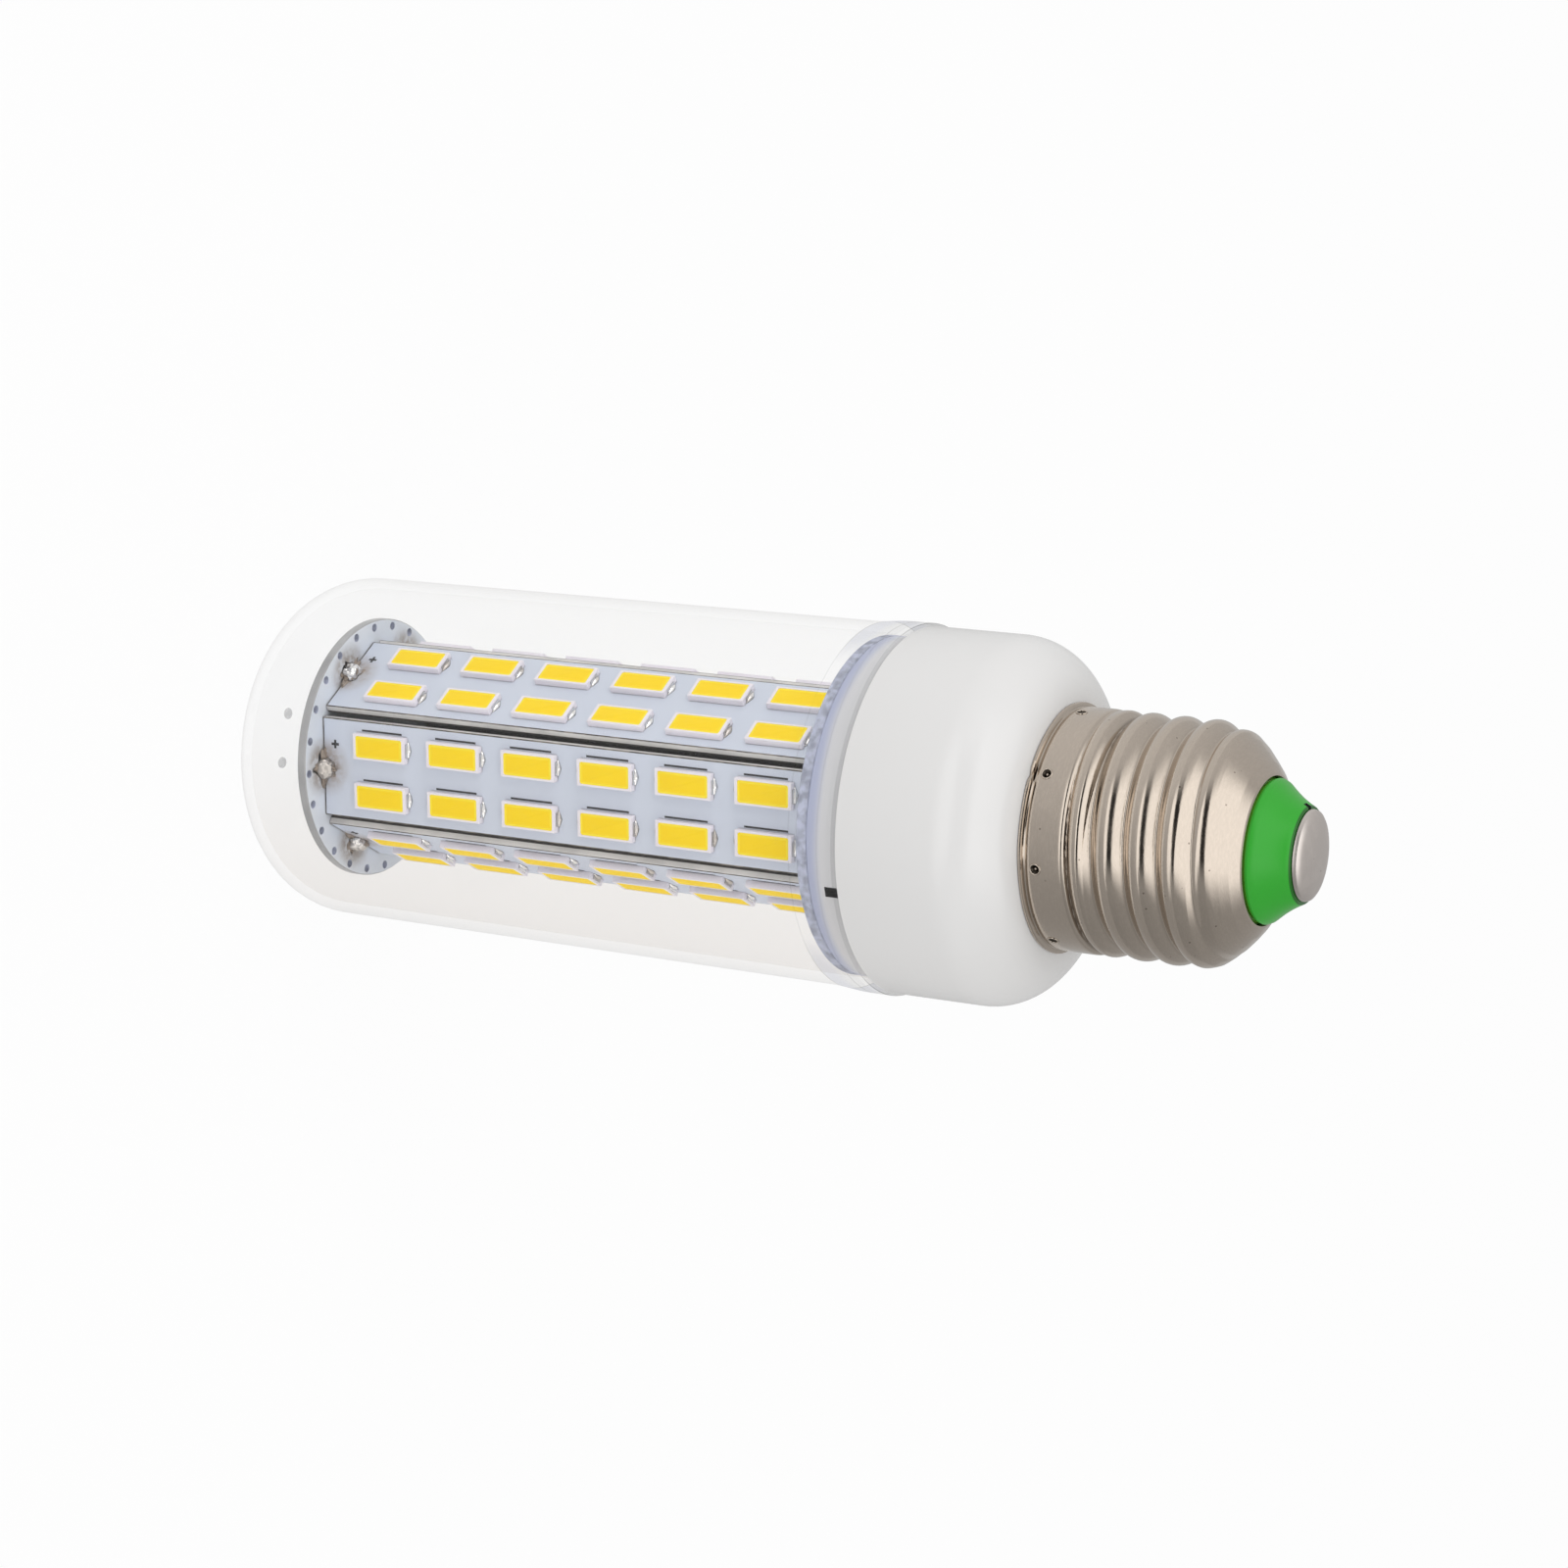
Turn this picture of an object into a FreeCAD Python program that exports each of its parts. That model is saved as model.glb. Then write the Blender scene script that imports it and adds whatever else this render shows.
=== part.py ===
import FreeCAD, Part
import Sketcher
import math
import os
import types

# Corn LED bulb with an Edison screw cap, in millimetres.
#
# The bulb stands on the flat end of its clear cover. The origin is the centre of that end, and +Z
# runs along the axis to the centre contact. Six strips of LEDs stand round the axis between two
# round boards. Strip 1 faces -Y, and the others follow it clockwise, seen from the cap.

# Driving dimensions: name, value, meaning
SIZES = [
    ("cover_height", 80.0, "height of the open rim of the cover"),
    ("cover_radius", 20.1, "outer radius of the cover at its open end"),
    ("cover_taper", 0.35, "how much slimmer the cover is beside its closed end"),
    ("end_corner", 8.6, "outer radius of the round edge of the closed end"),
    ("cover_wall", 1.2, "wall of the cover"),
    ("collar_height", 5.0, "height of the thicker collar at the open end"),
    ("collar_step", 0.3, "how far the collar stands out from the tube"),
    ("seam_gap", 0.3, "gap between the cover's rim and the housing"),
    ("cover_clearance", 0.2, "gap between the cover and what stands inside it"),
    ("housing_step", 0.3, "how far the housing stands in from the cover's collar"),
    ("housing_length", 18.0, "from the housing's ledge to the seat of the cap"),
    ("housing_wall", 1.6, "wall of the housing"),
    ("seat_ring", 0.15, "width of the flat ring between the neck and the round shoulder"),
    ("ledge_thickness", 1.4, "thickness of the ledge that faces the cover's rim"),
    ("spigot_wall", 1.2, "wall of the spigot inside the cover"),
    ("spigot_length", 4.1, "from the housing's ledge down to the base board"),
    ("notch_width", 1.1, "width of each snap notch"),
    ("notch_length", 1.9, "length of each snap notch along the axis"),
    ("notch_depth", 1.0, "depth of each snap notch"),
    ("notch_angle", -73.3, "place of the first snap notch round the axis"),
    ("neck_wall", 1.3, "wall of the neck inside the cap"),
    ("neck_length", 11.0, "length of the neck inside the cap"),
    ("cap_clearance", 0.15, "gap between the neck and the cap"),
    ("crest_radius", 13.1, "outer radius of the cap at its thread crests"),
    ("thread_pitch", 3.629, "pitch of the cap's thread, seven turns to the inch"),
    ("thread_depth", 1.0, "depth of the cap's thread"),
    ("cap_sheet", 0.3, "thickness of the cap's sheet metal"),
    ("lip_flare", 0.45, "how far the cap's rolled lip stands out"),
    ("lip_height", 0.8, "height of the cap's rolled lip"),
    ("skirt_length", 4.3, "from the cap's seat to the start of its thread"),
    ("thread_end", 19.0, "from the cap's seat to the end of its thread"),
    ("cap_crown", 12.0, "outer radius of the cap's round shoulder"),
    ("cap_length", 22.65, "from the cap's seat to its mouth"),
    ("punch_radius", 0.45, "radius of the punch marks that hold the cap on its neck"),
    ("punch_height", 1.8, "from the cap's seat to those marks"),
    ("punch_angle", 6.6, "place of the first of those marks round the axis"),
    ("mouth_radius", 8.0, "outer radius of the cap at its mouth"),
    ("insulator_height", 4.2, "height of the insulator outside the cap"),
    ("insulator_tip", 5.15, "outer radius of the insulator at the contact"),
    ("insulator_waist", 15.0, "radius of the hollow curve of the insulator"),
    ("insulator_flange", 0.5, "how far its flange inside the cap reaches past the mouth"),
    ("insulator_depth", 3.4, "depth of the insulator inside the cap"),
    ("insulator_fit", 0.1, "gap round the insulator and the contact's stem"),
    ("contact_radius", 4.85, "radius of the centre contact"),
    ("contact_edge", 0.25, "thickness of the centre contact at its edge"),
    ("contact_rise", 0.95, "rise of the centre contact's dome"),
    ("stem_radius", 1.3, "radius of the centre contact's stem"),
    ("end_board_height", 9.75, "height of the end board's inner face"),
    ("end_board_margin", 3.79, "how far the end board stands out from the strips"),
    ("end_board_thickness", 1.1, "thickness of the end board"),
    ("vent_inset", 0.8, "from the end board's edge to its ring of holes"),
    ("vent_radius", 0.3, "radius of each of those holes"),
    ("vent_angle", 1.6, "place of the first hole round the axis"),
    ("base_board_thickness", 1.2, "thickness of the base board"),
    ("wire_hole", 6.0, "radius of the hole for wires in the base board"),
    ("strip_width", 11.5, "width of each strip"),
    ("strip_thickness", 1.0, "thickness of each strip"),
    ("strip_gap", 0.35, "how far the strips stand out from where their edges would meet"),
    ("led_length", 7.0, "length of each LED along the axis"),
    ("led_width", 3.0, "width of each LED"),
    ("led_height", 0.8, "height of each LED above its strip"),
    ("window_end", 0.375, "wall of each LED at the ends of its yellow window"),
    ("window_side", 0.25, "wall of each LED along its yellow window"),
    ("window_depth", 0.5, "depth of the cup that holds the phosphor"),
    ("window_sink", 0.04, "how far the phosphor lies below the LED's face"),
    ("led_first", 8.1, "from the end board to the middle of the first row of LEDs"),
    ("led_pitch", 9.93, "distance between two rows of LEDs"),
    ("led_last", 4.65, "least room from the middle of the last row to the base board"),
    ("led_column", 2.9, "from the middle of a strip to each column of LEDs"),
    ("fillet_length", 0.55, "length of the solder at each end of an LED"),
    ("fillet_width", 2.2, "width of that solder"),
    ("fillet_height", 0.5, "height of that solder"),
    ("joint_radius", 1.35, "radius of the solder joints between strips and boards"),
    ("joint_offset", 0.2, "from the middle of a strip to its solder joint"),
    ("driver_inset", 2.0, "from the spigot's inner wall to the driver board's edge"),
    ("tongue_inset", 1.85, "from the neck's inner wall to the edge of its tongue"),
    ("driver_thickness", 1.2, "thickness of the driver board"),
    ("step_gap", 0.3, "from the driver board's step up to the round shoulder"),
    ("tongue_gap", 0.1, "from the end of its tongue up to the neck's rim"),
    ("driver_rise", 1.0, "gap between the base board and the driver board"),
    ("rail_depth", 3.6, "how far the rails stand in from the housing's wall"),
    ("rail_thickness", 1.2, "thickness of each rail"),
    ("rail_clearance", 0.1, "gap between the driver board and its rails"),
    ("pin_radius", 0.35, "radius of the pins of the driver's parts"),
    ("pin_clearance", 0.05, "gap round those pins in the driver board"),
    ("pin_reach", 0.9, "how far those pins stand out behind the board"),
    ("film_length", 13.0, "length of the film capacitor"),
    ("film_width", 6.0, "width of the film capacitor"),
    ("film_height", 11.0, "height of the film capacitor"),
    ("film_pins", 10.0, "distance between the film capacitor's pins"),
    ("film_level", 4.0, "from the driver board's lower end to the film capacitor"),
    ("can_radius", 4.0, "radius of the electrolytic capacitor"),
    ("can_length", 11.0, "length of the electrolytic capacitor"),
    ("can_pins", 3.5, "distance between the electrolytic capacitor's pins"),
    ("can_place", 4.5, "from the axis to the electrolytic capacitor"),
    ("can_level", 1.0, "from the driver board's step down to its middle"),
    ("bridge_length", 4.8, "length of the bridge rectifier"),
    ("bridge_width", 3.9, "width of the bridge rectifier"),
    ("bridge_height", 2.5, "height of the bridge rectifier"),
    ("bridge_level", 0.5, "from the driver board's step up to its middle"),
    ("bridge_place", -3.0, "from the axis to the bridge rectifier"),
    ("fuse_radius", 1.7, "radius of the fusible resistor"),
    ("fuse_length", 8.5, "length of the fusible resistor"),
    ("fuse_pins", 10.5, "distance between the fusible resistor's pins"),
    ("fuse_level", 8.7, "from the driver board's step up to its middle"),
    ("fuse_place", -4.6, "from the axis to the fusible resistor"),
    ("bleeder_radius", 1.2, "radius of the bleed resistor"),
    ("bleeder_length", 6.0, "length of the bleed resistor"),
    ("bleeder_pins", 8.5, "distance between the bleed resistor's pins"),
    ("bleeder_level", 8.0, "from the driver board's step up to its middle"),
    ("bleeder_place", -1.5, "from the axis to the bleed resistor"),
    ("resistor_stand", 0.4, "gap between a resistor and the driver board"),
    ("wire_radius", 0.6, "radius of the insulated wires"),
    ("wire_bend", 1.5, "radius of the bends of those wires"),
    ("neutral_place", 5.0, "from the axis to the neutral wire at the driver board"),
    ("feed_inset", 5.0, "from the driver board's edge to the direct-current wires"),
    ("feed_level", 3.2, "from the driver board's lower end to the direct-current wires"),
    ("live_level", 2.5, "from the driver board's upper end down to the live wire"),
    ("neutral_level", 4.0, "from the driver board's upper end down to the neutral wire"),
    ("wire_gap", 0.3, "gap between the neutral wire and the neck's rim"),
    ("pin_root", 0.5, "how far the pins start inside their parts"),
    ("film_round", 0.6, "radius of the film capacitor's edges"),
    ("can_round", 0.5, "radius of the electrolytic capacitor's rim"),
    ("bridge_stand", 0.15, "gap between the bridge rectifier and the driver board"),
    ("foot_reach", 0.7, "how far the bridge rectifier's feet stand out"),
    ("foot_width", 0.6, "width of each of those feet"),
    ("foot_height", 0.5, "height of each of those feet"),
    ("foot_place", 1.25, "from the bridge rectifier's middle to its feet"),
]

STRIPS = 6
LED_COLUMNS = 2
VENTS = 24
NOTCHES = 2
PUNCHES = 8
STRIP_STEP = 360.0 / STRIPS
STRIP_SLOPE = math.tan(math.radians(STRIP_STEP / 2))

doc = FreeCAD.newDocument("corn_led_bulb")
sheet = doc.addObject("Spreadsheet::Sheet", "sheet")
for row, (alias, number, meaning) in enumerate(SIZES, start=1):
    sheet.set("A%d" % row, meaning)
    sheet.set("B%d" % row, str(number))
    sheet.setAlias("B%d" % row, alias)
doc.recompute()

parts = []


class Tie:
    """A length with its expression in the sheet's names, which keeps a sketch tied to them."""

    def __init__(self, text, number):
        self.text = text
        self.number = number

    def __float__(self):
        return self.number

    def __add__(self, other):
        other = tie(other)
        return Tie("(%s + %s)" % (self.text, other.text), self.number + other.number)

    def __sub__(self, other):
        other = tie(other)
        return Tie("(%s - %s)" % (self.text, other.text), self.number - other.number)

    def __mul__(self, other):
        other = tie(other)
        return Tie("(%s * %s)" % (self.text, other.text), self.number * other.number)

    def __truediv__(self, other):
        other = tie(other)
        return Tie("(%s / %s)" % (self.text, other.text), self.number / other.number)


def tie(item):
    """A plain number as a tie. What is a tie already stays as it is."""
    return item if isinstance(item, Tie) else Tie("%.12g" % item, float(item))


def sine(angle):
    return Tie("sin(%s * 1deg)" % angle.text, math.sin(math.radians(angle.number)))


def cosine(angle):
    return Tie("cos(%s * 1deg)" % angle.text, math.cos(math.radians(angle.number)))


S = types.SimpleNamespace(**{alias: Tie("sheet." + alias, number) for alias, number, _ in SIZES})


def size(name):
    """The value of one driving dimension."""
    return getattr(S, name).number


def add(obj, name, placement=None):
    """Name a finished sub-part and keep it for export."""
    obj.Label = name
    if placement is not None:
        obj.Placement = placement
    parts.append(obj)
    return obj


def add_shape(shape, name, placement=None):
    """A sub-part whose form is set by Part's own functions."""
    obj = doc.addObject("Part::Feature", name)
    obj.Shape = shape
    return add(obj, name, placement)


def around(angle):
    """A turn about the bulb's axis."""
    return FreeCAD.Placement(FreeCAD.Vector(), FreeCAD.Rotation(FreeCAD.Vector(0, 0, 1), angle))


# Heights and radii that follow from the driving dimensions

LEDGE = S.cover_height + S.seam_gap
SEAT = LEDGE + S.housing_length
MOUTH = SEAT + S.cap_length
TIP = MOUTH + S.insulator_height
COVER_END = S.cover_radius - S.cover_taper
COVER_INNER = S.cover_radius - S.cover_wall
COLLAR = S.cover_radius + S.collar_step
SPIGOT = COVER_INNER - S.cover_clearance
SPIGOT_BORE = SPIGOT - S.spigot_wall
BASE_TOP = LEDGE - S.spigot_length
BASE_LOW = BASE_TOP - S.base_board_thickness
NECK = S.crest_radius - S.cap_sheet - S.cap_clearance
NECK_TIP = NECK - S.thread_depth
NECK_BORE = NECK_TIP - S.neck_wall
NECK_RIM = SEAT + S.neck_length
HOUSING = COLLAR - S.housing_step
CROWN = NECK + S.seat_ring
SHOULDER = HOUSING - CROWN
STRIP_FACE = S.strip_width / (2 * STRIP_SLOPE) + S.strip_thickness + S.strip_gap
END_BOARD = STRIP_FACE + S.end_board_margin
WINDOW_LENGTH = S.led_length - S.window_end * 2
WINDOW_WIDTH = S.led_width - S.window_side * 2
DRIVER_LOW = BASE_TOP + S.driver_rise
DRIVER_STEP = SEAT - SHOULDER - S.step_gap
DRIVER_TOP = NECK_RIM - S.tongue_gap
DRIVER_FACE = S.driver_thickness / 2
DRIVER_EDGE = SPIGOT_BORE - S.driver_inset
TONGUE_EDGE = NECK_BORE - S.tongue_inset


# Sketch helpers


def origin_plane(body, role):
    """One of the body's own origin planes."""
    return next(item for item in body.Origin.OriginFeatures if item.Role == role)


def new_sketch(body, name, role, lift=None):
    """A sketch on an origin plane, lifted along the plane's normal."""
    sketch = body.newObject("Sketcher::SketchObject", name)
    sketch.AttachmentSupport = [(origin_plane(body, role), "")]
    sketch.MapMode = "FlatFace"
    if lift:
        sketch.setExpression("AttachmentOffset.Base.z", lift.text)
    return sketch


def radial_sketch(body, name, distance, angle):
    """A sketch that faces away from the axis, at a distance from it and at an angle round it."""
    sketch = new_sketch(body, name, "XZ_Plane")
    sketch.AttachmentOffset = FreeCAD.Placement(
        FreeCAD.Vector(), FreeCAD.Rotation(FreeCAD.Vector(0, 1, 0), 1.0))
    turn = angle + 90
    sketch.setExpression("AttachmentOffset.Base.x", (distance * sine(turn)).text)
    sketch.setExpression("AttachmentOffset.Base.z", (distance * cosine(turn)).text)
    sketch.setExpression("AttachmentOffset.Rotation.Angle", turn.text)
    return sketch


def pin_point(sketch, edge, end, across, up):
    """Tie a point of a sketch to its two coordinates."""
    for kind, axis, place in (("DistanceX", -2, tie(across)), ("DistanceY", -1, tie(up))):
        if place.text == "0":
            sketch.addConstraint(Sketcher.Constraint("PointOnObject", edge, end, axis))
            continue
        index = sketch.addConstraint(Sketcher.Constraint(kind, -1, 1, edge, end, place.number))
        sketch.setExpression("Constraints[%d]" % index, place.text)


def arc_centre(start, finish, radius, left):
    """Centre of the arc between two points, on the left or the right of the chord."""
    chord = finish - start
    half = chord.Length / 2
    reach = math.sqrt(max(radius * radius - half * half, 0.0))
    side = FreeCAD.Vector(-chord.y, chord.x, 0).normalize()
    return (start + finish) / 2 + side * (reach if left else -reach)


def hold_radius(sketch, edge, radius):
    """Tie the radius of a circle or an arc of a sketch."""
    index = sketch.addConstraint(Sketcher.Constraint("Radius", edge, radius.number))
    sketch.setExpression("Constraints[%d]" % index, radius.text)


def profile(sketch, corners):
    """A closed outline.

    Each corner is (across, up). A third item makes the edge that follows the corner an arc:
    (radius, side), where side is left or right of the way to the next corner, and says where
    the arc's centre lies.
    """
    spots = [FreeCAD.Vector(float(c[0]), float(c[1]), 0) for c in corners]
    arcs = {}
    for index, corner in enumerate(corners):
        start = spots[index]
        finish = spots[(index + 1) % len(corners)]
        if len(corner) == 2:
            sketch.addGeometry(Part.LineSegment(start, finish), False)
            continue
        radius = float(corner[2][0])
        left = corner[2][1] == "left"
        centre = arc_centre(start, finish, radius, left)
        first, last = (start, finish) if left else (finish, start)
        turn = [math.atan2(spot.y - centre.y, spot.x - centre.x) for spot in (first, last)]
        if turn[1] < turn[0]:
            turn[1] += 2 * math.pi
        circle = Part.Circle(centre, FreeCAD.Vector(0, 0, 1), radius)
        sketch.addGeometry(Part.ArcOfCircle(circle, turn[0], turn[1]), False)
        arcs[index] = left
    for index, corner in enumerate(corners):
        # Point 1 of an arc is its counter-clockwise start
        starts_at = 1 if arcs.get(index, True) else 2
        before = (index - 1) % len(corners)
        ends_at = 2 if arcs.get(before, True) else 1
        sketch.addConstraint(Sketcher.Constraint("Coincident", before, ends_at, index, starts_at))
        pin_point(sketch, index, starts_at, corner[0], corner[1])
    for index in arcs:
        hold_radius(sketch, index, corners[index][2][0])


def rectangle(sketch, low, high):
    """A rectangle between two corners."""
    first = sketch.GeometryCount
    xs = (float(low[0]), float(high[0]))
    ys = (float(low[1]), float(high[1]))
    spots = [FreeCAD.Vector(x, y, 0) for x, y in
             ((xs[0], ys[0]), (xs[1], ys[0]), (xs[1], ys[1]), (xs[0], ys[1]))]
    for index in range(4):
        sketch.addGeometry(Part.LineSegment(spots[index], spots[(index + 1) % 4]), False)
    for index in range(4):
        sketch.addConstraint(
            Sketcher.Constraint("Coincident", first + index, 2, first + (index + 1) % 4, 1))
    for index, kind in enumerate(("Horizontal", "Vertical", "Horizontal", "Vertical")):
        sketch.addConstraint(Sketcher.Constraint(kind, first + index))
    pin_point(sketch, first, 1, low[0], low[1])
    pin_point(sketch, first + 2, 1, high[0], high[1])


def circle(sketch, across, up, radius):
    """A circle round a centre."""
    middle = FreeCAD.Vector(float(across), float(up), 0)
    edge = sketch.addGeometry(Part.Circle(middle, FreeCAD.Vector(0, 0, 1), float(radius)), False)
    pin_point(sketch, edge, 3, across, up)
    hold_radius(sketch, edge, radius)


def revolved(name, corners):
    """A body turned about the bulb's axis from an outline in the XZ plane."""
    body = doc.addObject("PartDesign::Body", name)
    sketch = new_sketch(body, name + "_outline", "XZ_Plane")
    profile(sketch, corners)
    turn = body.newObject("PartDesign::Revolution", name + "_turned")
    turn.Profile = sketch
    turn.ReferenceAxis = (sketch, ["V_Axis"])
    turn.Angle = 360
    doc.recompute()
    return body


def pad(body, sketch, length, name):
    """A prism raised from a sketch."""
    feature = body.newObject("PartDesign::Pad", name)
    feature.Profile = sketch
    feature.setExpression("Length", length.text)
    doc.recompute()
    return feature


def pocket(body, sketch, length, name, reverse=False):
    """A cut into the body from a sketch. It has to take some material away."""
    before = body.Shape.Volume
    feature = body.newObject("PartDesign::Pocket", name)
    feature.Profile = sketch
    feature.setExpression("Length", length.text)
    feature.Reversed = reverse
    doc.recompute()
    if body.Shape.Volume > before - 1e-6:
        raise ValueError(name + " cuts nothing")
    return feature


def ring_of(body, feature, count, name):
    """Copies of a feature, evenly spaced about the bulb's axis."""
    pattern = body.newObject("PartDesign::PolarPattern", name)
    pattern.Originals = [feature]
    axis = next(item for item in body.Origin.OriginFeatures if item.Role == "Z_Axis")
    pattern.Axis = (axis, [""])
    pattern.Angle = 360
    pattern.Occurrences = count
    body.Tip = pattern
    doc.recompute()
    return pattern


# Clear cover: a tube with a closed, round-edged end and a slightly thicker collar


def make_cover():
    collar_low = S.cover_height - S.collar_height
    flat = COVER_END - S.end_corner
    body = revolved("cover", [
        (0, 0),
        (flat, 0, (S.end_corner, "left")),
        (COVER_END, S.end_corner),
        (S.cover_radius, collar_low),
        (COLLAR, collar_low),
        (COLLAR, S.cover_height),
        (COVER_INNER, S.cover_height),
        (COVER_INNER, collar_low),
        (COVER_END - S.cover_wall, S.end_corner, (S.end_corner - S.cover_wall, "right")),
        (flat, S.cover_wall),
        (0, S.cover_wall),
    ])
    add(body, "cover")


# White housing: a spigot inside the cover, a ledge, a round shoulder and a neck inside the cap


def make_housing():
    step = SEAT + S.skirt_length - S.cap_clearance * 2
    shoulder = SEAT - SHOULDER
    bore = HOUSING - S.housing_wall
    ceiling = SEAT - S.housing_wall
    shelf = LEDGE + S.ledge_thickness
    body = revolved("housing", [
        (SPIGOT_BORE, BASE_TOP),
        (SPIGOT, BASE_TOP),
        (SPIGOT, LEDGE),
        (HOUSING, LEDGE),
        (HOUSING, shoulder, (SHOULDER, "left")),
        (CROWN, SEAT),
        (NECK, SEAT),
        (NECK, step),
        (NECK_TIP, step),
        (NECK_TIP, NECK_RIM),
        (NECK_BORE, NECK_RIM),
        (NECK_BORE, ceiling),
        (CROWN, ceiling, (SHOULDER - S.housing_wall, "right")),
        (bore, shoulder),
        (bore, shelf),
        (SPIGOT_BORE, shelf),
    ])
    rails = new_sketch(body, "rail_outline", "XY_Plane", BASE_TOP)
    inner = SPIGOT - S.rail_depth
    outer = SPIGOT - S.spigot_wall / 2
    near = DRIVER_FACE + S.rail_clearance
    far = near + S.rail_thickness
    for flip in (1, -1):
        for side in (1, -1):
            rectangle(rails, (inner * flip, near * side), (outer * flip, far * side))
    pad(body, rails, DRIVER_STEP - BASE_TOP, "rails")

    notch = radial_sketch(body, "notch_outline", SPIGOT + S.notch_depth, S.notch_angle)
    rectangle(notch, (S.notch_width / -2, LEDGE - S.notch_length),
              (S.notch_width / 2, LEDGE + S.notch_depth / 4))
    cut = pocket(body, notch, S.notch_depth * 2, "notch")
    ring_of(body, cut, NOTCHES, "notches")
    add(body, "housing")


# Screw cap: one sheet of metal with a rolled lip, a skirt and a domed shoulder, held on the neck
# by a ring of punch marks


def make_screw_cap():
    lip = S.crest_radius + S.lip_flare
    lip_top = SEAT + S.lip_height
    crown = SEAT + S.thread_end - S.thread_pitch / 2
    bore = S.crest_radius - S.cap_sheet
    mouth = S.mouth_radius - S.cap_sheet
    body = revolved("screw_cap", [
        (lip - S.cap_sheet, SEAT),
        (lip, SEAT, (S.lip_height, "left")),
        (S.crest_radius, lip_top),
        (S.crest_radius, crown, (S.cap_crown, "left")),
        (S.mouth_radius, MOUTH),
        (mouth, MOUTH),
        (mouth, MOUTH - S.cap_sheet, (S.cap_crown - S.cap_sheet, "right")),
        (bore, crown),
        (bore, lip_top, (S.lip_height + S.cap_sheet, "right")),
    ])
    punch = radial_sketch(body, "punch_outline", S.crest_radius + S.cap_sheet, S.punch_angle)
    circle(punch, 0, SEAT + S.punch_height, S.punch_radius)
    cut = pocket(body, punch, S.cap_sheet * 3, "punch")
    ring_of(body, cut, PUNCHES, "punches")
    add(body, "screw_cap")


# Green insulator and centre contact


def make_insulator():
    hole = S.stem_radius + S.insulator_fit
    root = S.mouth_radius - S.insulator_fit - S.cap_sheet
    flange = S.mouth_radius + S.insulator_flange
    low = MOUTH - S.insulator_depth
    body = revolved("cap_insulator", [
        (hole, low),
        (flange, low),
        (flange, MOUTH - S.insulator_depth / 2),
        (root, MOUTH - S.cap_sheet - S.insulator_fit),
        (root, MOUTH, (S.insulator_waist, "right")),
        (S.insulator_tip, TIP),
        (hole, TIP),
    ])
    add(body, "cap_insulator")


def make_contact():
    dome = (S.contact_radius * S.contact_radius / S.contact_rise + S.contact_rise) / 2
    edge = TIP + S.contact_edge
    low = MOUTH - S.insulator_depth - S.insulator_fit
    body = revolved("centre_contact", [
        (0, low),
        (S.stem_radius, low),
        (S.stem_radius, TIP),
        (S.contact_radius, TIP),
        (S.contact_radius, edge, (dome, "left")),
        (0, edge + S.contact_rise),
    ])
    add(body, "centre_contact")


# Round boards at both ends of the strips


def make_end_board():
    body = doc.addObject("PartDesign::Body", "end_board")
    low = S.end_board_height - S.end_board_thickness
    outline = new_sketch(body, "end_board_outline", "XY_Plane", low)
    circle(outline, 0, 0, END_BOARD)
    pad(body, outline, S.end_board_thickness, "end_board_disc")
    ring = END_BOARD - S.vent_inset
    vent = new_sketch(body, "vent_outline", "XY_Plane", S.end_board_height)
    circle(vent, ring * cosine(S.vent_angle), ring * sine(S.vent_angle), S.vent_radius)
    cut = pocket(body, vent, S.end_board_thickness, "vent")
    ring_of(body, cut, VENTS, "vents")
    add(body, "end_board")


def make_base_board():
    body = doc.addObject("PartDesign::Body", "base_board")
    outline = new_sketch(body, "base_board_outline", "XY_Plane", BASE_LOW)
    circle(outline, 0, 0, SPIGOT)
    circle(outline, 0, 0, S.wire_hole)
    pad(body, outline, S.base_board_thickness, "base_board_disc")
    add(body, "base_board")


# Strips of LEDs. Each is laid out facing -Y and then turned to its place


def make_strip(number):
    board = doc.addObject("Part::Box", "led_strip_%d" % number)
    board.setExpression("Length", S.strip_width.text)
    board.setExpression("Width", S.strip_thickness.text)
    board.setExpression("Height", (BASE_LOW - S.end_board_height).text)
    add(board, "led_strip_%d" % number)
    corner = FreeCAD.Vector(-size("strip_width") / 2, -STRIP_FACE.number,
                            size("end_board_height"))
    turn = around(-STRIP_STEP * (number - 1))
    board.Placement = turn.multiply(FreeCAD.Placement(corner, FreeCAD.Rotation()))


def led_places():
    """Middle of each LED on its strip: across the strip and up the axis."""
    first = size("end_board_height") + size("led_first")
    last = BASE_LOW.number - size("led_last")
    rows = 1 + int((last - first) / size("led_pitch"))
    for column in range(LED_COLUMNS):
        across = size("led_column") * (2 * column - 1)
        for row_number in range(rows):
            yield across, first + size("led_pitch") * row_number


def block(middle, up, length, width, back, front):
    """A box on the face of the strip that faces -Y, between two distances from the axis."""
    corner = FreeCAD.Vector(middle - width / 2, -front, up - length / 2)
    return Part.makeBox(width, front - back, length, corner)


def led_package():
    face = STRIP_FACE.number
    top = face + size("led_height")
    body = block(0, 0, size("led_length"), size("led_width"), face, top)
    cup = block(0, 0, WINDOW_LENGTH.number, WINDOW_WIDTH.number,
                top - size("window_depth"), top + size("window_depth"))
    return body.cut(cup)


def led_phosphor():
    top = STRIP_FACE.number + size("led_height")
    return block(0, 0, WINDOW_LENGTH.number, WINDOW_WIDTH.number,
                 top - size("window_depth"), top - size("window_sink"))


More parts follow.
